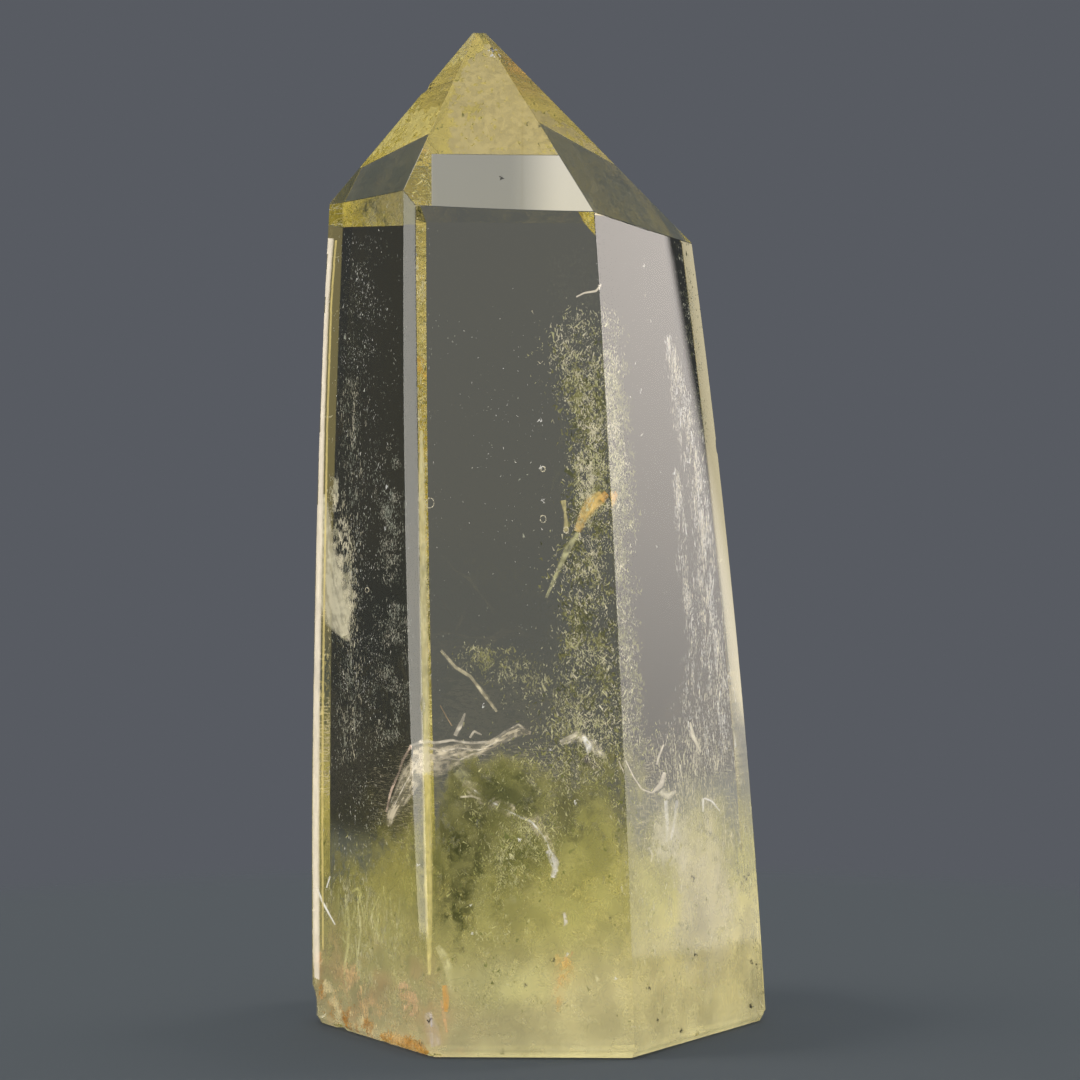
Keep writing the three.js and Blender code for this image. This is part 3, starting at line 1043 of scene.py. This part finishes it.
# Drifts of specks. Each follows a line of image columns, rows and half widths in pixels.
CREAM = (0.82, 0.77, 0.60)
PALE_GREEN = (0.60, 0.59, 0.34)
OLIVE = (0.30, 0.30, 0.14)
DARK_GREEN = (0.10, 0.11, 0.06)
WHITE = (0.92, 0.92, 0.90)
GREY_GREEN = (0.42, 0.45, 0.38)
FINE, STREAKY, BROAD, CURLY = (5.0, 6.0), (3.0, 20.0), (12.0, 16.0), (13.0, 14.0)
DRIFTS = {
    # line, depth range in mm, count, size in mm, stretch, upright, clump across and down, two colours, face
    "front_curtain": (
        ((577, 318, 24), (578, 350, 36), (586, 400, 30), (592, 440, 20), (590, 480, 20), (592, 530, 22),
         (584, 570, 32), (588, 620, 30), (592, 670, 34), (592, 720, 40), (592, 775, 44)),
        (2.0, 7.0), 9500, 0.07, 2.4, 0.35, CURLY, CREAM, PALE_GREEN, "front",
    ),
    "front_curtain_shade": (
        ((577, 340, 30), (586, 400, 28), (592, 470, 20), (590, 540, 30), (588, 620, 34), (590, 700, 40),
         (590, 775, 44)),
        (4.0, 8.5), 5000, 0.15, 1.5, 0.2, BROAD, DARK_GREEN, OLIVE, "front",
    ),
    "front_low_curtain": (
        ((470, 655, 20), (520, 672, 34), (560, 690, 44), (585, 720, 40), (570, 760, 60)),
        (3.0, 8.0), 3200, 0.07, 2.4, 0.3, CURLY, (0.66, 0.64, 0.44), OLIVE, "front",
    ),
    "front_moss_light": (
        ((545, 770, 56), (520, 810, 62), (505, 850, 52), (497, 900, 44), (496, 960, 42)),
        (1.2, 5.0), 6000, 0.07, 2.6, 0.35, CURLY, (0.72, 0.70, 0.42), (0.42, 0.42, 0.16), "front",
    ),
    "front_scatter": (
        ((500, 300, 66), (505, 450, 70), (510, 640, 80)),
        (0.2, 12.0), 300, 0.055, 1.4, 0.3, BROAD, WHITE, GREY_GREEN, "front",
    ),
    "left_specks": (
        ((358, 236, 26), (362, 330, 30), (362, 460, 28), (362, 560, 26), (362, 660, 32), (362, 760, 34),
         (364, 860, 34)),
        (0.3, 9.0), 3800, 0.055, 1.8, 0.55, BROAD, WHITE, GREY_GREEN, "left",
    ),
    "left_streaks": (
        ((350, 380, 10), (352, 450, 13), (350, 520, 13), (346, 590, 14), (350, 660, 12), (348, 760, 14)),
        (0.4, 4.0), 2600, 0.055, 3.6, 0.85, STREAKY, CREAM, GREY_GREEN, "left",
    ),
    "left_bright_cloud": (
        ((333, 478, 4), (337, 520, 9), (342, 560, 11), (347, 600, 9), (345, 640, 5)),
        (0.3, 2.0), 4200, 0.085, 2.2, 0.7, FINE, CREAM, (0.50, 0.48, 0.34), "left",
    ),
    "left_lower": (
        ((384, 440, 14), (390, 540, 14), (392, 620, 16), (390, 680, 18), (386, 740, 18)),
        (0.3, 4.0), 4200, 0.06, 1.8, 0.5, BROAD, GREY_GREEN, (0.50, 0.48, 0.40), "left",
    ),
    "right_dark_strip": (
        ((684, 240, 9), (690, 300, 9), (697, 380, 7), (706, 460, 4)),
        (0.6, 4.0), 1600, 0.06, 1.8, 0.5, FINE, (0.62, 0.63, 0.52), DARK_GREEN, "right",
    ),
    "right_wisps": (
        ((668, 338, 5), (676, 380, 9), (684, 420, 11), (692, 450, 11), (699, 490, 10), (704, 530, 9),
         (705, 570, 12), (709, 610, 14), (716, 650, 14), (716, 700, 18), (716, 760, 24)),
        (0.5, 4.0), 6500, 0.055, 4.5, 0.9, STREAKY, WHITE, CREAM, "right",
    ),
    "right_second_wisp": (
        ((676, 470, 4), (681, 520, 5), (683, 570, 5), (690, 620, 6), (694, 680, 12), (690, 740, 22)),
        (0.5, 4.0), 1800, 0.055, 4.0, 0.9, STREAKY, WHITE, CREAM, "right",
    ),
    "right_lower_wisps": (
        ((690, 740, 40), (690, 790, 44), (695, 840, 46), (700, 900, 46)),
        (0.5, 6.0), 7500, 0.065, 3.6, 0.8, STREAKY, CREAM, (0.60, 0.57, 0.38), "right",
    ),
    "right_scatter": (
        ((640, 260, 36), (652, 450, 40), (668, 650, 44)),
        (0.2, 10.0), 240, 0.055, 1.6, 0.4, BROAD, WHITE, CREAM, "right",
    ),
    "rust_break": (
        ((316, 950, 4), (320, 970, 7), (325, 990, 10), (334, 1006, 11), (350, 1018, 12), (372, 1034, 12)),
        (0.12, 1.0), 4200, 0.14, 1.6, 0.4, FINE, (0.86, 0.76, 0.46), RUST_DEEP, "left",
    ),
    "rust_left": (
        ((346, 968, 9), (356, 990, 12), (372, 1008, 14), (384, 1022, 14)),
        (0.2, 2.5), 2600, 0.1, 2.0, 0.6, FINE, (0.84, 0.66, 0.36), RUST_PALE, "left",
    ),
    "rust_patch": (
        ((404, 985, 6), (409, 1000, 8), (411, 1016, 6)),
        (0.3, 1.8), 1600, 0.1, 1.6, 0.4, FINE, (0.84, 0.63, 0.38), RUST_PALE, "left",
    ),
    "rust_foot": (
        ((376, 1034, 7), (392, 1040, 10), (408, 1045, 11), (424, 1052, 6)),
        (0.12, 1.2), 4200, 0.13, 1.6, 0.2, BROAD, (0.86, 0.66, 0.32), (0.68, 0.40, 0.10), "left",
    ),
    "rust_front": (
        ((565, 958, 7), (560, 980, 5), (558, 1004, 4)),
        (0.3, 2.0), 700, 0.1, 1.8, 0.6, FINE, (0.84, 0.62, 0.24), RUST_PALE, "front",
    ),
    "front_foot_flecks": (
        ((455, 985, 34), (520, 1000, 40), (600, 1005, 40)),
        (0.2, 2.5), 1500, 0.085, 2.4, 0.4, CURLY, (0.86, 0.82, 0.54), (0.44, 0.42, 0.20), "front",
    ),
    "left_foot_flecks": (
        ((345, 880, 26), (368, 930, 40), (385, 980, 40), (392, 1020, 30)),
        (0.2, 3.0), 2200, 0.085, 3.2, 0.8, CURLY, (0.88, 0.84, 0.56), (0.34, 0.33, 0.20), "left",
    ),
    "right_foot_flecks": (
        ((660, 880, 50), (690, 950, 50), (700, 1010, 40)),
        (0.2, 3.0), 1400, 0.08, 2.8, 0.6, CURLY, (0.84, 0.81, 0.62), (0.46, 0.44, 0.28), "right",
    ),
}
DRIFT_SEED = 200
DRIFT_SEED_STEP = 7
DRIFT_TINTS = (0.9, 0.9, 1.4)
# How many tries a speck of a drift takes, and how far a drift spreads across and along its line
CURLY_TRIES = 14
PLAIN_TRIES = 4
DRIFT_SPREAD = (0.5, 0.3)
CURLY_PATCHES = (26.0, 26.0, 40.0)


def along_line(line, shares):
    """Values of a line of knots at shares of its way, from 0 to 1"""
    knots = np.array(line, float)
    steps = np.linalg.norm(np.diff(knots[:, :2], axis=0), axis=1)
    reach = np.concatenate(((0,), np.cumsum(steps))) / np.sum(steps)
    return np.stack([np.interp(shares, reach, knots[:, k]) for k in range(knots.shape[1])], axis=1)


def drift_grain(spots, clump, seed):
    """How thickly specks lie at spots, in curls or in plain clumps"""
    if clump is CURLY:
        patches = ramp(cloud_noise(spots, CURLY_PATCHES, seed + 2), 0.36, 0.6)
        curls = strands(spots, (*clump, 2 * clump[0]), 0.09, seed)
        return (0.08 + 0.92 * curls) * (0.25 + 0.75 * patches)
    return ramp(cloud_noise(spots, (*clump, 4 * clump[0]), seed), 0.44, 0.66)


def drift_points(rng, line, depth, count, clump, face, seed):
    """Points of one drift inside the stone, thinned to clumps"""
    tries = count * (CURLY_TRIES if clump is CURLY else PLAIN_TRIES)
    x, y, half_width = along_line(line, rng.random(tries)).T
    x = x + rng.normal(0, DRIFT_SPREAD[0], tries) * half_width
    y = y + rng.normal(0, DRIFT_SPREAD[1], tries) * half_width
    pixels = np.stack((x, y), axis=1)
    depths = rng.uniform(*depth, tries)
    points, faces = seen_by_rows(pixels, depths)
    grain = drift_grain(np.stack((x, y, depths * PX_PER_MM), axis=1), clump, seed)
    keep = (faces == SIDE_NAMES.index(face)) & (rng.random(tries) < grain)
    return points[keep][:count]


def make_drifts():
    """Curtains, streaks and stains of fine specks"""
    rng = np.random.default_rng(DRIFT_SEED)
    parts = []
    for number, drift in enumerate(DRIFTS.values()):
        line, depth, count, size, stretch, upright, clump, first, second, face = drift
        seed = DRIFT_SEED + DRIFT_SEED_STEP * number
        points = drift_points(rng, line, depth, count, clump, face, seed)
        found = len(points)
        sizes = rng.lognormal(math.log(size), 0.4, found)
        stretches = rng.uniform(1.0, stretch * 1.5, found)
        share = ramp(cloud_noise(points, DRIFT_TINTS, seed + 3), 0.35, 0.65)
        tints = mixed(share, first, second) * rng.uniform(0.7, 1.1, (found, 1))
        parts.append((points, sizes, stretches, np.full(found, upright), tints))
    material = inclusion_material("specks")
    together = (np.concatenate(part) for part in zip(*parts))
    return make_flakes("speck_drifts", material, *together, DRIFT_SEED + 1)


# Veils, threads and stains as thin ribbons. Each follows a line of image columns, rows, half widths in
# pixels and depths in millimetres, and has a colour, a cover and a raggedness from 0 to 1.
VEIL = (0.74, 0.66, 0.50)
VEIL_RIM = (0.78, 0.72, 0.60)
EDGE_FROST = (0.90, 0.82, 0.68)
EDGE_HONEY = (0.72, 0.60, 0.24)
RIBBONS = (
    # The frosted left edge, painted bands of refracted light along the left front edge, and the honey line
    # inside the left edge
    (((329.5, 238, 4.2, 0.12), (325, 300, 4.0, 0.12), (321, 420, 3.8, 0.12), (318.5, 560, 3.8, 0.12),
      (316, 700, 4.0, 0.12), (315, 840, 4.4, 0.12), (315.5, 950, 4.2, 0.12), (316.4, 980, 3.0, 0.12)),
      EDGE_FROST, 0.95, 0.06),
    # Painted light: a yellow band and a pale band along the left front edge, standing in for light refracted
    # through the stone
    (((426.5, 772, 5.0, 0.14), (427.5, 820, 5.2, 0.14), (428, 870, 5.0, 0.14), (429, 930, 4.0, 0.14),
      (429.5, 975, 2.0, 0.14)), (0.80, 0.70, 0.28), 0.8, 0.35),
    (((421, 430, 2.0, 0.14), (422, 500, 4.5, 0.14), (423.5, 600, 5.0, 0.14), (425, 700, 5.0, 0.14),
      (426.5, 775, 5.0, 0.14)), (0.84, 0.79, 0.50), 0.6, 0.3),
    (((335.5, 240, 1.2, 0.14), (331, 300, 1.2, 0.14), (327, 420, 1.2, 0.14), (324.5, 560, 1.3, 0.14),
      (322.5, 700, 1.4, 0.14), (322, 840, 1.3, 0.14), (322.5, 950, 1.2, 0.14)), EDGE_HONEY, 0.75, 0.2),
    # Cream frost on the left face, and the rust wedge at the front foot
    (((324, 494, 2, 0.3), (325, 515, 5, 0.3), (326, 545, 9, 0.3), (330, 575, 15, 0.3), (334, 600, 20, 0.3),
      (338, 618, 16, 0.3), (345, 636, 5, 0.3)), (0.60, 0.565, 0.42), 0.85, 0.45),
    (((556, 954, 2, 0.5), (561, 964, 8, 0.5), (565, 973, 15, 0.5), (562, 984, 6, 0.5), (558, 1012, 2, 0.5)),
      (0.70, 0.50, 0.18), 0.65, 0.6),
    # The folded upper veil in the front face, with its rims
    (((425, 758, 13, 1.4), (412, 775, 12, 1.3), (402, 795, 9, 1.2), (392, 812, 6, 1.1), (388, 826, 3, 1.1)),
      VEIL, 0.75, 0.85),
    (((412, 758, 12, 1.3), (436, 760, 18, 1.6), (456, 754, 12, 2.0), (476, 749, 8, 2.4), (492, 745, 6, 2.8),
      (508, 736, 6, 3.2), (520, 730, 6, 3.6), (531, 733, 2, 4.0)), VEIL, 0.85, 0.8),
    (((410, 746, 1.6, 1.2), (424, 741, 1.9, 1.3), (436, 743, 1.8, 1.4), (452, 740, 1.5, 1.7),
      (470, 743, 1.7, 2.0), (490, 742, 1.6, 2.4), (506, 731, 1.5, 2.8), (519, 724, 1.2, 3.2),
      (524, 729, 0.8, 3.4)), VEIL_RIM, 0.85, 0.7),
    (((430, 748, 1.2, 1.3), (444, 751, 1.0, 1.5), (458, 748, 1.1, 1.8), (480, 750, 0.9, 2.2),
      (498, 741, 0.9, 2.6)), VEIL_RIM, 0.8, 0.8),
    (((411, 745, 1.4, 1.1), (402, 761, 1.6, 1.1), (399, 772, 1.2, 1.1), (391, 790, 1.5, 1.1),
      (386, 812, 1.0, 1.1)), (0.80, 0.62, 0.50), 0.65, 0.7),
    (((422, 752, 1.2, 1.2), (413, 770, 1.0, 1.2), (404, 785, 0.8, 1.2), (394, 806, 0.6, 1.1)), VEIL_RIM,
      0.7, 0.6),
    (((440, 757, 1.0, 1.5), (460, 760, 0.8, 1.9), (474, 753, 0.8, 2.2), (486, 755, 0.6, 2.4)), VEIL_RIM,
      0.7, 0.6),
    # The lower veil, with its bright rim and green shadow
    (((462, 784, 5, 2.5), (474, 789, 8, 2.5), (488, 800, 9, 2.6), (502, 808, 8, 2.8), (516, 812, 8, 3.0),
      (529, 813, 7, 3.2), (538, 826, 7, 3.4), (546, 840, 6, 3.6), (556, 862, 3, 3.8)), VEIL, 0.95, 0.75),
    (((474, 790, 1.0, 1.8), (494, 803, 1.2, 1.8), (512, 813, 1.0, 1.8), (532, 822, 1.3, 1.8),
      (545, 838, 1.2, 1.8), (552, 855, 1.0, 1.8)), WHITE, 0.9, 0.6),
    (((460, 797, 1.2, 2.4), (472, 796, 1.4, 2.5), (484, 800, 1.2, 2.6)), VEIL_RIM, 0.85, 0.3),
    (((547, 850, 3, 3.4), (552, 862, 3, 3.5), (557, 872, 2.4, 3.6)), WHITE, 0.9, 0.5),
    (((457, 770, 6, 2.2), (466, 778, 7, 2.4), (474, 788, 4, 2.6)), PALE_GREEN, 0.6, 0.6),
    # Small cracks and veils round the upper veil
    (((441, 650, 1.6, 2.8), (455, 667, 2.4, 2.8), (470, 676, 2.2, 3.0), (484, 694, 2.4, 3.2),
      (497, 712, 1.6, 3.4)), (0.66, 0.60, 0.42), 0.75, 0.6),
    (((455, 736, 2.4, 2.0), (461, 724, 3, 2.1), (465, 713, 1.2, 2.2)), VEIL_RIM, 0.8, 0.5),
    (((470, 738, 1.4, 2.2), (474, 731, 1.6, 2.2), (482, 735, 1.0, 2.3)), VEIL_RIM, 0.8, 0.4),
    (((440, 705, 0.7, 1.0), (446, 716, 0.7, 1.1), (452, 726, 0.7, 1.2)), (0.45, 0.33, 0.2), 0.8, 0.2),
    # The knot at the middle of the front curtain
    (((560, 743, 3, 3.0), (578, 736, 6, 3.2), (592, 745, 7, 3.4), (604, 757, 3, 3.4)), VEIL_RIM, 0.75, 0.7),
    (((584, 757, 4, 3.6), (592, 764, 5, 3.6), (602, 767, 3, 3.6)), (0.08, 0.07, 0.10), 0.85, 0.4),
    (((583, 736, 2, 3.0), (589, 747, 4, 3.0), (588, 753, 2, 3.0)), WHITE, 0.95, 0.3),
    # Rust bars in the front curtain, with their tail
    (((603, 496, 7, 2.4), (592, 503, 9, 2.4), (583, 518, 6, 2.5), (577, 532, 4, 2.6)), (0.80, 0.56, 0.20),
      0.85, 0.5),
    (((607, 493, 4, 2.3), (600, 500, 5, 2.3)), (0.78, 0.42, 0.10), 0.85, 0.4),
    (((578, 533, 3, 2.6), (568, 548, 4, 2.8), (560, 566, 3, 3.0), (546, 598, 1.4, 3.2)), PALE_GREEN, 0.7,
      0.6),
    (((563, 500, 3.4, 2.4), (565, 512, 1.6, 2.4), (566, 522, 2.6, 2.4), (566, 532, 3.0, 2.4)),
      (0.76, 0.68, 0.34), 0.75, 0.3),
    # A thread below the shoulder
    (((576, 297, 0.9, 0.3), (584, 293, 1.2, 0.3), (596, 291, 1.4, 0.3), (602, 284, 1.6, 0.3)), VEIL_RIM,
      0.9, 0.3),
    # Loops, cracks and pale streaks in the right face
    (((664, 744, 1.0, 1.4), (659, 756, 1.4, 1.4), (657, 765, 1.2, 1.4)), VEIL_RIM, 0.85, 0.3),
    (((626, 760, 0.7, 1.2), (634, 777, 0.9, 1.2), (642, 789, 1.0, 1.2), (652, 793, 1.0, 1.2),
      (661, 785, 3.4, 1.3), (665, 772, 2.4, 1.3)), VEIL_RIM, 0.9, 0.3),
    (((661, 790, 5, 1.6), (668, 797, 4, 1.6), (676, 790, 1.6, 1.6)), CREAM, 0.7, 0.5),
    (((666, 800, 2.4, 1.6), (667, 820, 2.2, 1.6), (667, 842, 1.2, 1.6)), WHITE, 0.75, 0.4),
    (((677, 800, 1.8, 1.8), (675, 820, 1.8, 1.8), (671, 840, 1.0, 1.8)), WHITE, 0.65, 0.4),
    (((703, 798, 1.6, 1.4), (703, 812, 1.0, 1.4)), WHITE, 0.9, 0.2),
    (((704, 798, 1.0, 1.4), (712, 801, 1.2, 1.4), (720, 811, 0.8, 1.4)), WHITE, 0.8, 0.3),
    (((690, 722, 1.2, 1.5), (693, 736, 2.6, 1.5), (701, 752, 1.4, 1.5)), CREAM, 0.85, 0.2),
    (((649, 847, 1.2, 1.2), (653, 855, 1.2, 1.2), (651, 862, 0.8, 1.2)), CREAM, 0.7, 0.2),
    # Scratches low in the left face
    (((316, 886, 1.0, 0.3), (322, 902, 1.4, 0.3), (335, 925, 0.8, 0.3)), WHITE, 0.9, 0.2),
    (((330, 876, 0.8, 0.4), (326, 888, 0.8, 0.4)), WHITE, 0.8, 0.2),
    # Stains and glints at the foot of the left front edge
    (((437, 946, 3.0, 0.4), (444, 956, 5.5, 0.4), (449, 970, 5.0, 0.4), (451, 987, 2.0, 0.4)),
      (0.84, 0.80, 0.44), 0.7, 0.55),
    (((444.5, 985, 3.0, 0.3), (446, 998, 4.0, 0.3), (446, 1012, 2.4, 0.3)), (0.78, 0.40, 0.09), 0.92, 0.12),
    (((441, 1000, 1.2, 0.3), (444, 1015, 2.4, 0.3), (447, 1034, 1.4, 0.3)), (0.84, 0.52, 0.26), 0.8, 0.4),
    (((427, 1012, 4, 0.4), (432, 1030, 8, 0.4), (437, 1046, 6, 0.4)), (0.72, 0.68, 0.72), 0.6, 0.5),
    # Glints and curls above the foot
    (((548, 850, 3, 2.0), (556, 862, 4, 2.0), (553, 878, 3, 2.0)), (0.84, 0.82, 0.86), 0.7, 0.6),
    (((564, 912, 1.6, 1.5), (566, 922, 2.6, 1.5), (564, 932, 1.2, 1.5)), (0.84, 0.80, 0.86), 0.75, 0.4),
    (((352, 892, 1.4, 1.0), (357, 888, 1.6, 1.0), (361, 893, 1.4, 1.0), (358, 904, 1.4, 1.0)),
      (0.58, 0.56, 0.22), 0.75, 0.5),
    (((346, 899, 1.6, 1.0), (349, 920, 1.8, 1.0), (348, 945, 1.8, 1.0), (344, 970, 1.6, 1.0),
      (346, 992, 1.0, 1.0)), (0.60, 0.58, 0.28), 0.75, 0.5),
    (((358, 905, 1.0, 1.2), (361, 930, 1.2, 1.2), (357, 960, 1.0, 1.2), (362, 985, 0.8, 1.2)),
      (0.60, 0.58, 0.34), 0.65, 0.5),
)
RIBBON_ROWS_PER_PX = 0.8
RIBBON_COLUMNS = 8
RIBBON_LEAST_ROWS = 6
RIBBON_SEED = 500
RIBBON_SEED_STEP = 11
# How far a ribbon's depth and its colour vary: least share and swing
RIBBON_SWAY = (0.85, 0.5)
RIBBON_TINTS = (0.82, 0.36)
SWAY_SIZE = (14.0, 14.0, 14.0)
FRAY_SIZE = (4.0, 4.0, 4.0)
FRAY_SHARE = 0.45
THREAD_SIZE = (2.2, 16.0, 6.0)
VEIL_THROUGH_SHARE = 0.2


def smoothed(rows):
    """Rows of numbers with the corners of their line eased"""
    padded = np.concatenate((rows[:1], rows, rows[-1:]))
    return (padded[:-2] + 2 * rows + padded[2:]) / 4


def ribbon_places(line):
    """Pixels and depths of a ribbon's points row by row, and its own two coordinates along and across"""
    knots = np.array(line, float)
    length = float(np.sum(np.linalg.norm(np.diff(knots[:, :2], axis=0), axis=1)))
    rows = max(int(length * RIBBON_ROWS_PER_PX), RIBBON_LEAST_ROWS)
    middle = smoothed(along_line(line, np.linspace(0, 1, rows)))
    heading = np.gradient(middle[:, :2], axis=0)
    heading /= np.linalg.norm(heading, axis=1)[:, None] + 1e-9
    side = np.stack((-heading[:, 1], heading[:, 0]), axis=1)
    across = np.linspace(-1, 1, max(RIBBON_COLUMNS, int(2 * np.max(knots[:, 2]))) + 1)
    pixels = middle[:, None, :2] + side[:, None, :] * (middle[:, 2, None] * across)[:, :, None]
    depths = np.repeat(middle[:, 3], len(across))
    sideways = (middle[:, 2, None] * across).ravel()
    lengthwise = np.repeat(np.arange(rows) / RIBBON_ROWS_PER_PX, len(across))
    return pixels.reshape(-1, 2), depths, np.stack((sideways, lengthwise), axis=1), across, rows


def ribbon_grid(line, colour, cover, ragged, seed):
    """Points, faces and colours of one ribbon"""
    pixels, depths, own, across, rows = ribbon_places(line)
    level = np.full((len(pixels), 1), 3.0 * seed)
    spot, thread = np.hstack((pixels, level)), np.hstack((own, level))
    depths = depths * (RIBBON_SWAY[0] + RIBBON_SWAY[1] * cloud_noise(spot, SWAY_SIZE, seed))
    points, _ = seen_by_rows(pixels, depths)
    frayed = FRAY_SHARE * cloud_noise(spot, FRAY_SIZE, seed + 5)
    frayed += (1 - FRAY_SHARE) * cloud_noise(thread, THREAD_SIZE, seed + 7)
    edge = np.tile(1 - np.abs(across) ** 3, rows)
    solid = edge * (1 - ragged * ramp(frayed, 0.38, 0.6))
    shade = RIBBON_TINTS[0] + RIBBON_TINTS[1] * cloud_noise(thread, THREAD_SIZE, seed + 9)
    tints = np.array(colour) * shade[:, None]
    return points, np.array(grid_faces(rows, len(across))), with_cover(tints, cover * solid)


FIBRE_COUNT = 90
FIBRE_SEED = 400
# Ranges of columns, rows, lengths and half widths in pixels, and of depths in millimetres
FIBRE_COLUMNS = (338, 402)
FIBRE_ROWS = (885, 985)
FIBRE_LENGTHS = (18, 60)
FIBRE_WIDTHS = (0.35, 0.8)
FIBRE_DEPTHS = (0.5, 5.0)
FIBRE_BEND = 4
FIBRE_TIP = 0.3
FIBRE_COVERS = (0.35, 0.75)
FIBRE_RAGGED = 0.3
FIBRE_COLOURS = ((0.62, 0.60, 0.32), (0.46, 0.46, 0.20))


def loose_fibres():
    """Fine upright fibres in the left part of the foot"""
    rng = np.random.default_rng(FIBRE_SEED)
    fibres = []
    for _ in range(FIBRE_COUNT):
        x, y = rng.uniform(*FIBRE_COLUMNS), rng.uniform(*FIBRE_ROWS)
        length, bend = rng.uniform(*FIBRE_LENGTHS), rng.normal(0, FIBRE_BEND, 2)
        width, depth = rng.uniform(*FIBRE_WIDTHS), rng.uniform(*FIBRE_DEPTHS)
        middle = (x + bend[0], y + length / 2, width, depth)
        line = ((x, y, width, depth), middle, (x + bend[1], y + length, FIBRE_TIP, depth))
        colour = mixed([rng.random()], *FIBRE_COLOURS)[0]
        fibres.append((line, colour, rng.uniform(*FIBRE_COVERS), FIBRE_RAGGED))
    return fibres


def make_ribbons():
    """Veils, cracks, threads and fibres"""
    points, faces, colours, start = [], [], [], 0
    for number, ribbon in enumerate(list(RIBBONS) + loose_fibres()):
        grid = ribbon_grid(*ribbon, seed=RIBBON_SEED + RIBBON_SEED_STEP * number)
        points.append(grid[0])
        faces.append(grid[1] + start)
        colours.append(grid[2])
        start += len(grid[0])
    material = inclusion_material("veils", VEIL_THROUGH_SHARE, covered=True)
    points, faces, colours = np.concatenate(points), np.concatenate(faces), np.concatenate(colours)
    room = roominess(points)
    keep = np.min(room[faces], axis=1) > RIBBON_MARGIN
    return painted_mesh("veils", points, faces[keep], colours, material)


# Single marks: dark pits, sparkles and bubbles, at image columns and rows
PITS = (
    (694, 877), (746, 878), (749, 874), (743, 884), (752, 962), (758, 965), (752, 1006), (658, 1020),
    (648, 988), (696, 955), (682, 1030), (553, 960), (525, 984), (501, 178), (429, 1021), (421, 1044),
    (328, 272), (320, 503),
)
SPARKLES = (
    (567, 955), (609, 967), (597, 981), (616, 978), (472, 933), (541, 467), (541, 420), (543, 500),
    (385, 528), (387, 444), (484, 706), (520, 840), (471, 905), (550, 750), (575, 803), (417, 865),
    (402, 986), (448, 1016), (386, 486), (634, 1027), (490, 50), (493, 56), (641, 391), (674, 473),
)
# Column, row and radius in pixels
BUBBLES = (
    (543, 469, 2.6), (543, 519, 3.6), (566, 530, 3.0), (367, 590, 2.4), (430, 503, 5.0), (376, 1018, 5.5),
    (395, 1016, 6),
)
BUBBLE_FLAKES = 60
BUBBLE_NARROWING = 0.8
BUBBLE_DEPTH = 1.5
BUBBLE_FLAKE_SIZE = 0.07
PIT_COLOUR = (0.05, 0.045, 0.03)
MARK_SEED = 600


def clump_of_flakes(rng, spots, depth, count, spread, size, colour):
    """A few flakes close round each spot"""
    pixels = np.repeat(np.array(spots, float), count, axis=0)
    pixels += rng.normal(0, spread, pixels.shape)
    points, _ = seen_by_rows(pixels, rng.uniform(*depth, len(pixels)))
    colours = np.array(colour) * rng.uniform(0.8, 1.05, (len(points), 1))
    return points, rng.lognormal(math.log(size), 0.3, len(points)), colours


def bubble_flakes(rng):
    """Small rings of bright flakes"""
    points = []
    for x, y, radius in BUBBLES:
        angles = rng.uniform(0, 2 * math.pi, BUBBLE_FLAKES)
        across = x + radius * BUBBLE_NARROWING * np.cos(angles)
        ring = np.stack((across, y + radius * np.sin(angles)), axis=1)
        points.append(seen_by_rows(ring, np.full(BUBBLE_FLAKES, BUBBLE_DEPTH))[0])
    points = np.concatenate(points)
    return points, np.full(len(points), BUBBLE_FLAKE_SIZE), np.tile(np.array(CREAM), (len(points), 1))


def make_marks():
    rng = np.random.default_rng(MARK_SEED)
    parts = [
        clump_of_flakes(rng, PITS, (0.15, 0.5), 14, 1.1, 0.13, PIT_COLOUR),
        clump_of_flakes(rng, SPARKLES, (0.5, 2.0), 5, 0.8, 0.16, WHITE),
        bubble_flakes(rng),
    ]
    points, sizes, colours = (np.concatenate([part[k] for part in parts]) for k in range(3))
    material = inclusion_material("marks")
    stretch = rng.uniform(1.0, 1.8, len(points))
    return make_flakes("marks", material, points, sizes, stretch, 0.2, colours, MARK_SEED + 1)


make_camera()
make_floor()
make_foot_shade()
make_surroundings()
set_light_paths()

crystal = make_crystal()
veils = make_ribbons()
inclusions = (make_fog(), make_plates(), make_moss(), make_drifts(), veils, make_marks())
make_lamps(inclusions, veils)
for piece in (crystal, *inclusions):
    piece.visible_shadow = False
    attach(piece, "root")
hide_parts(NODE)
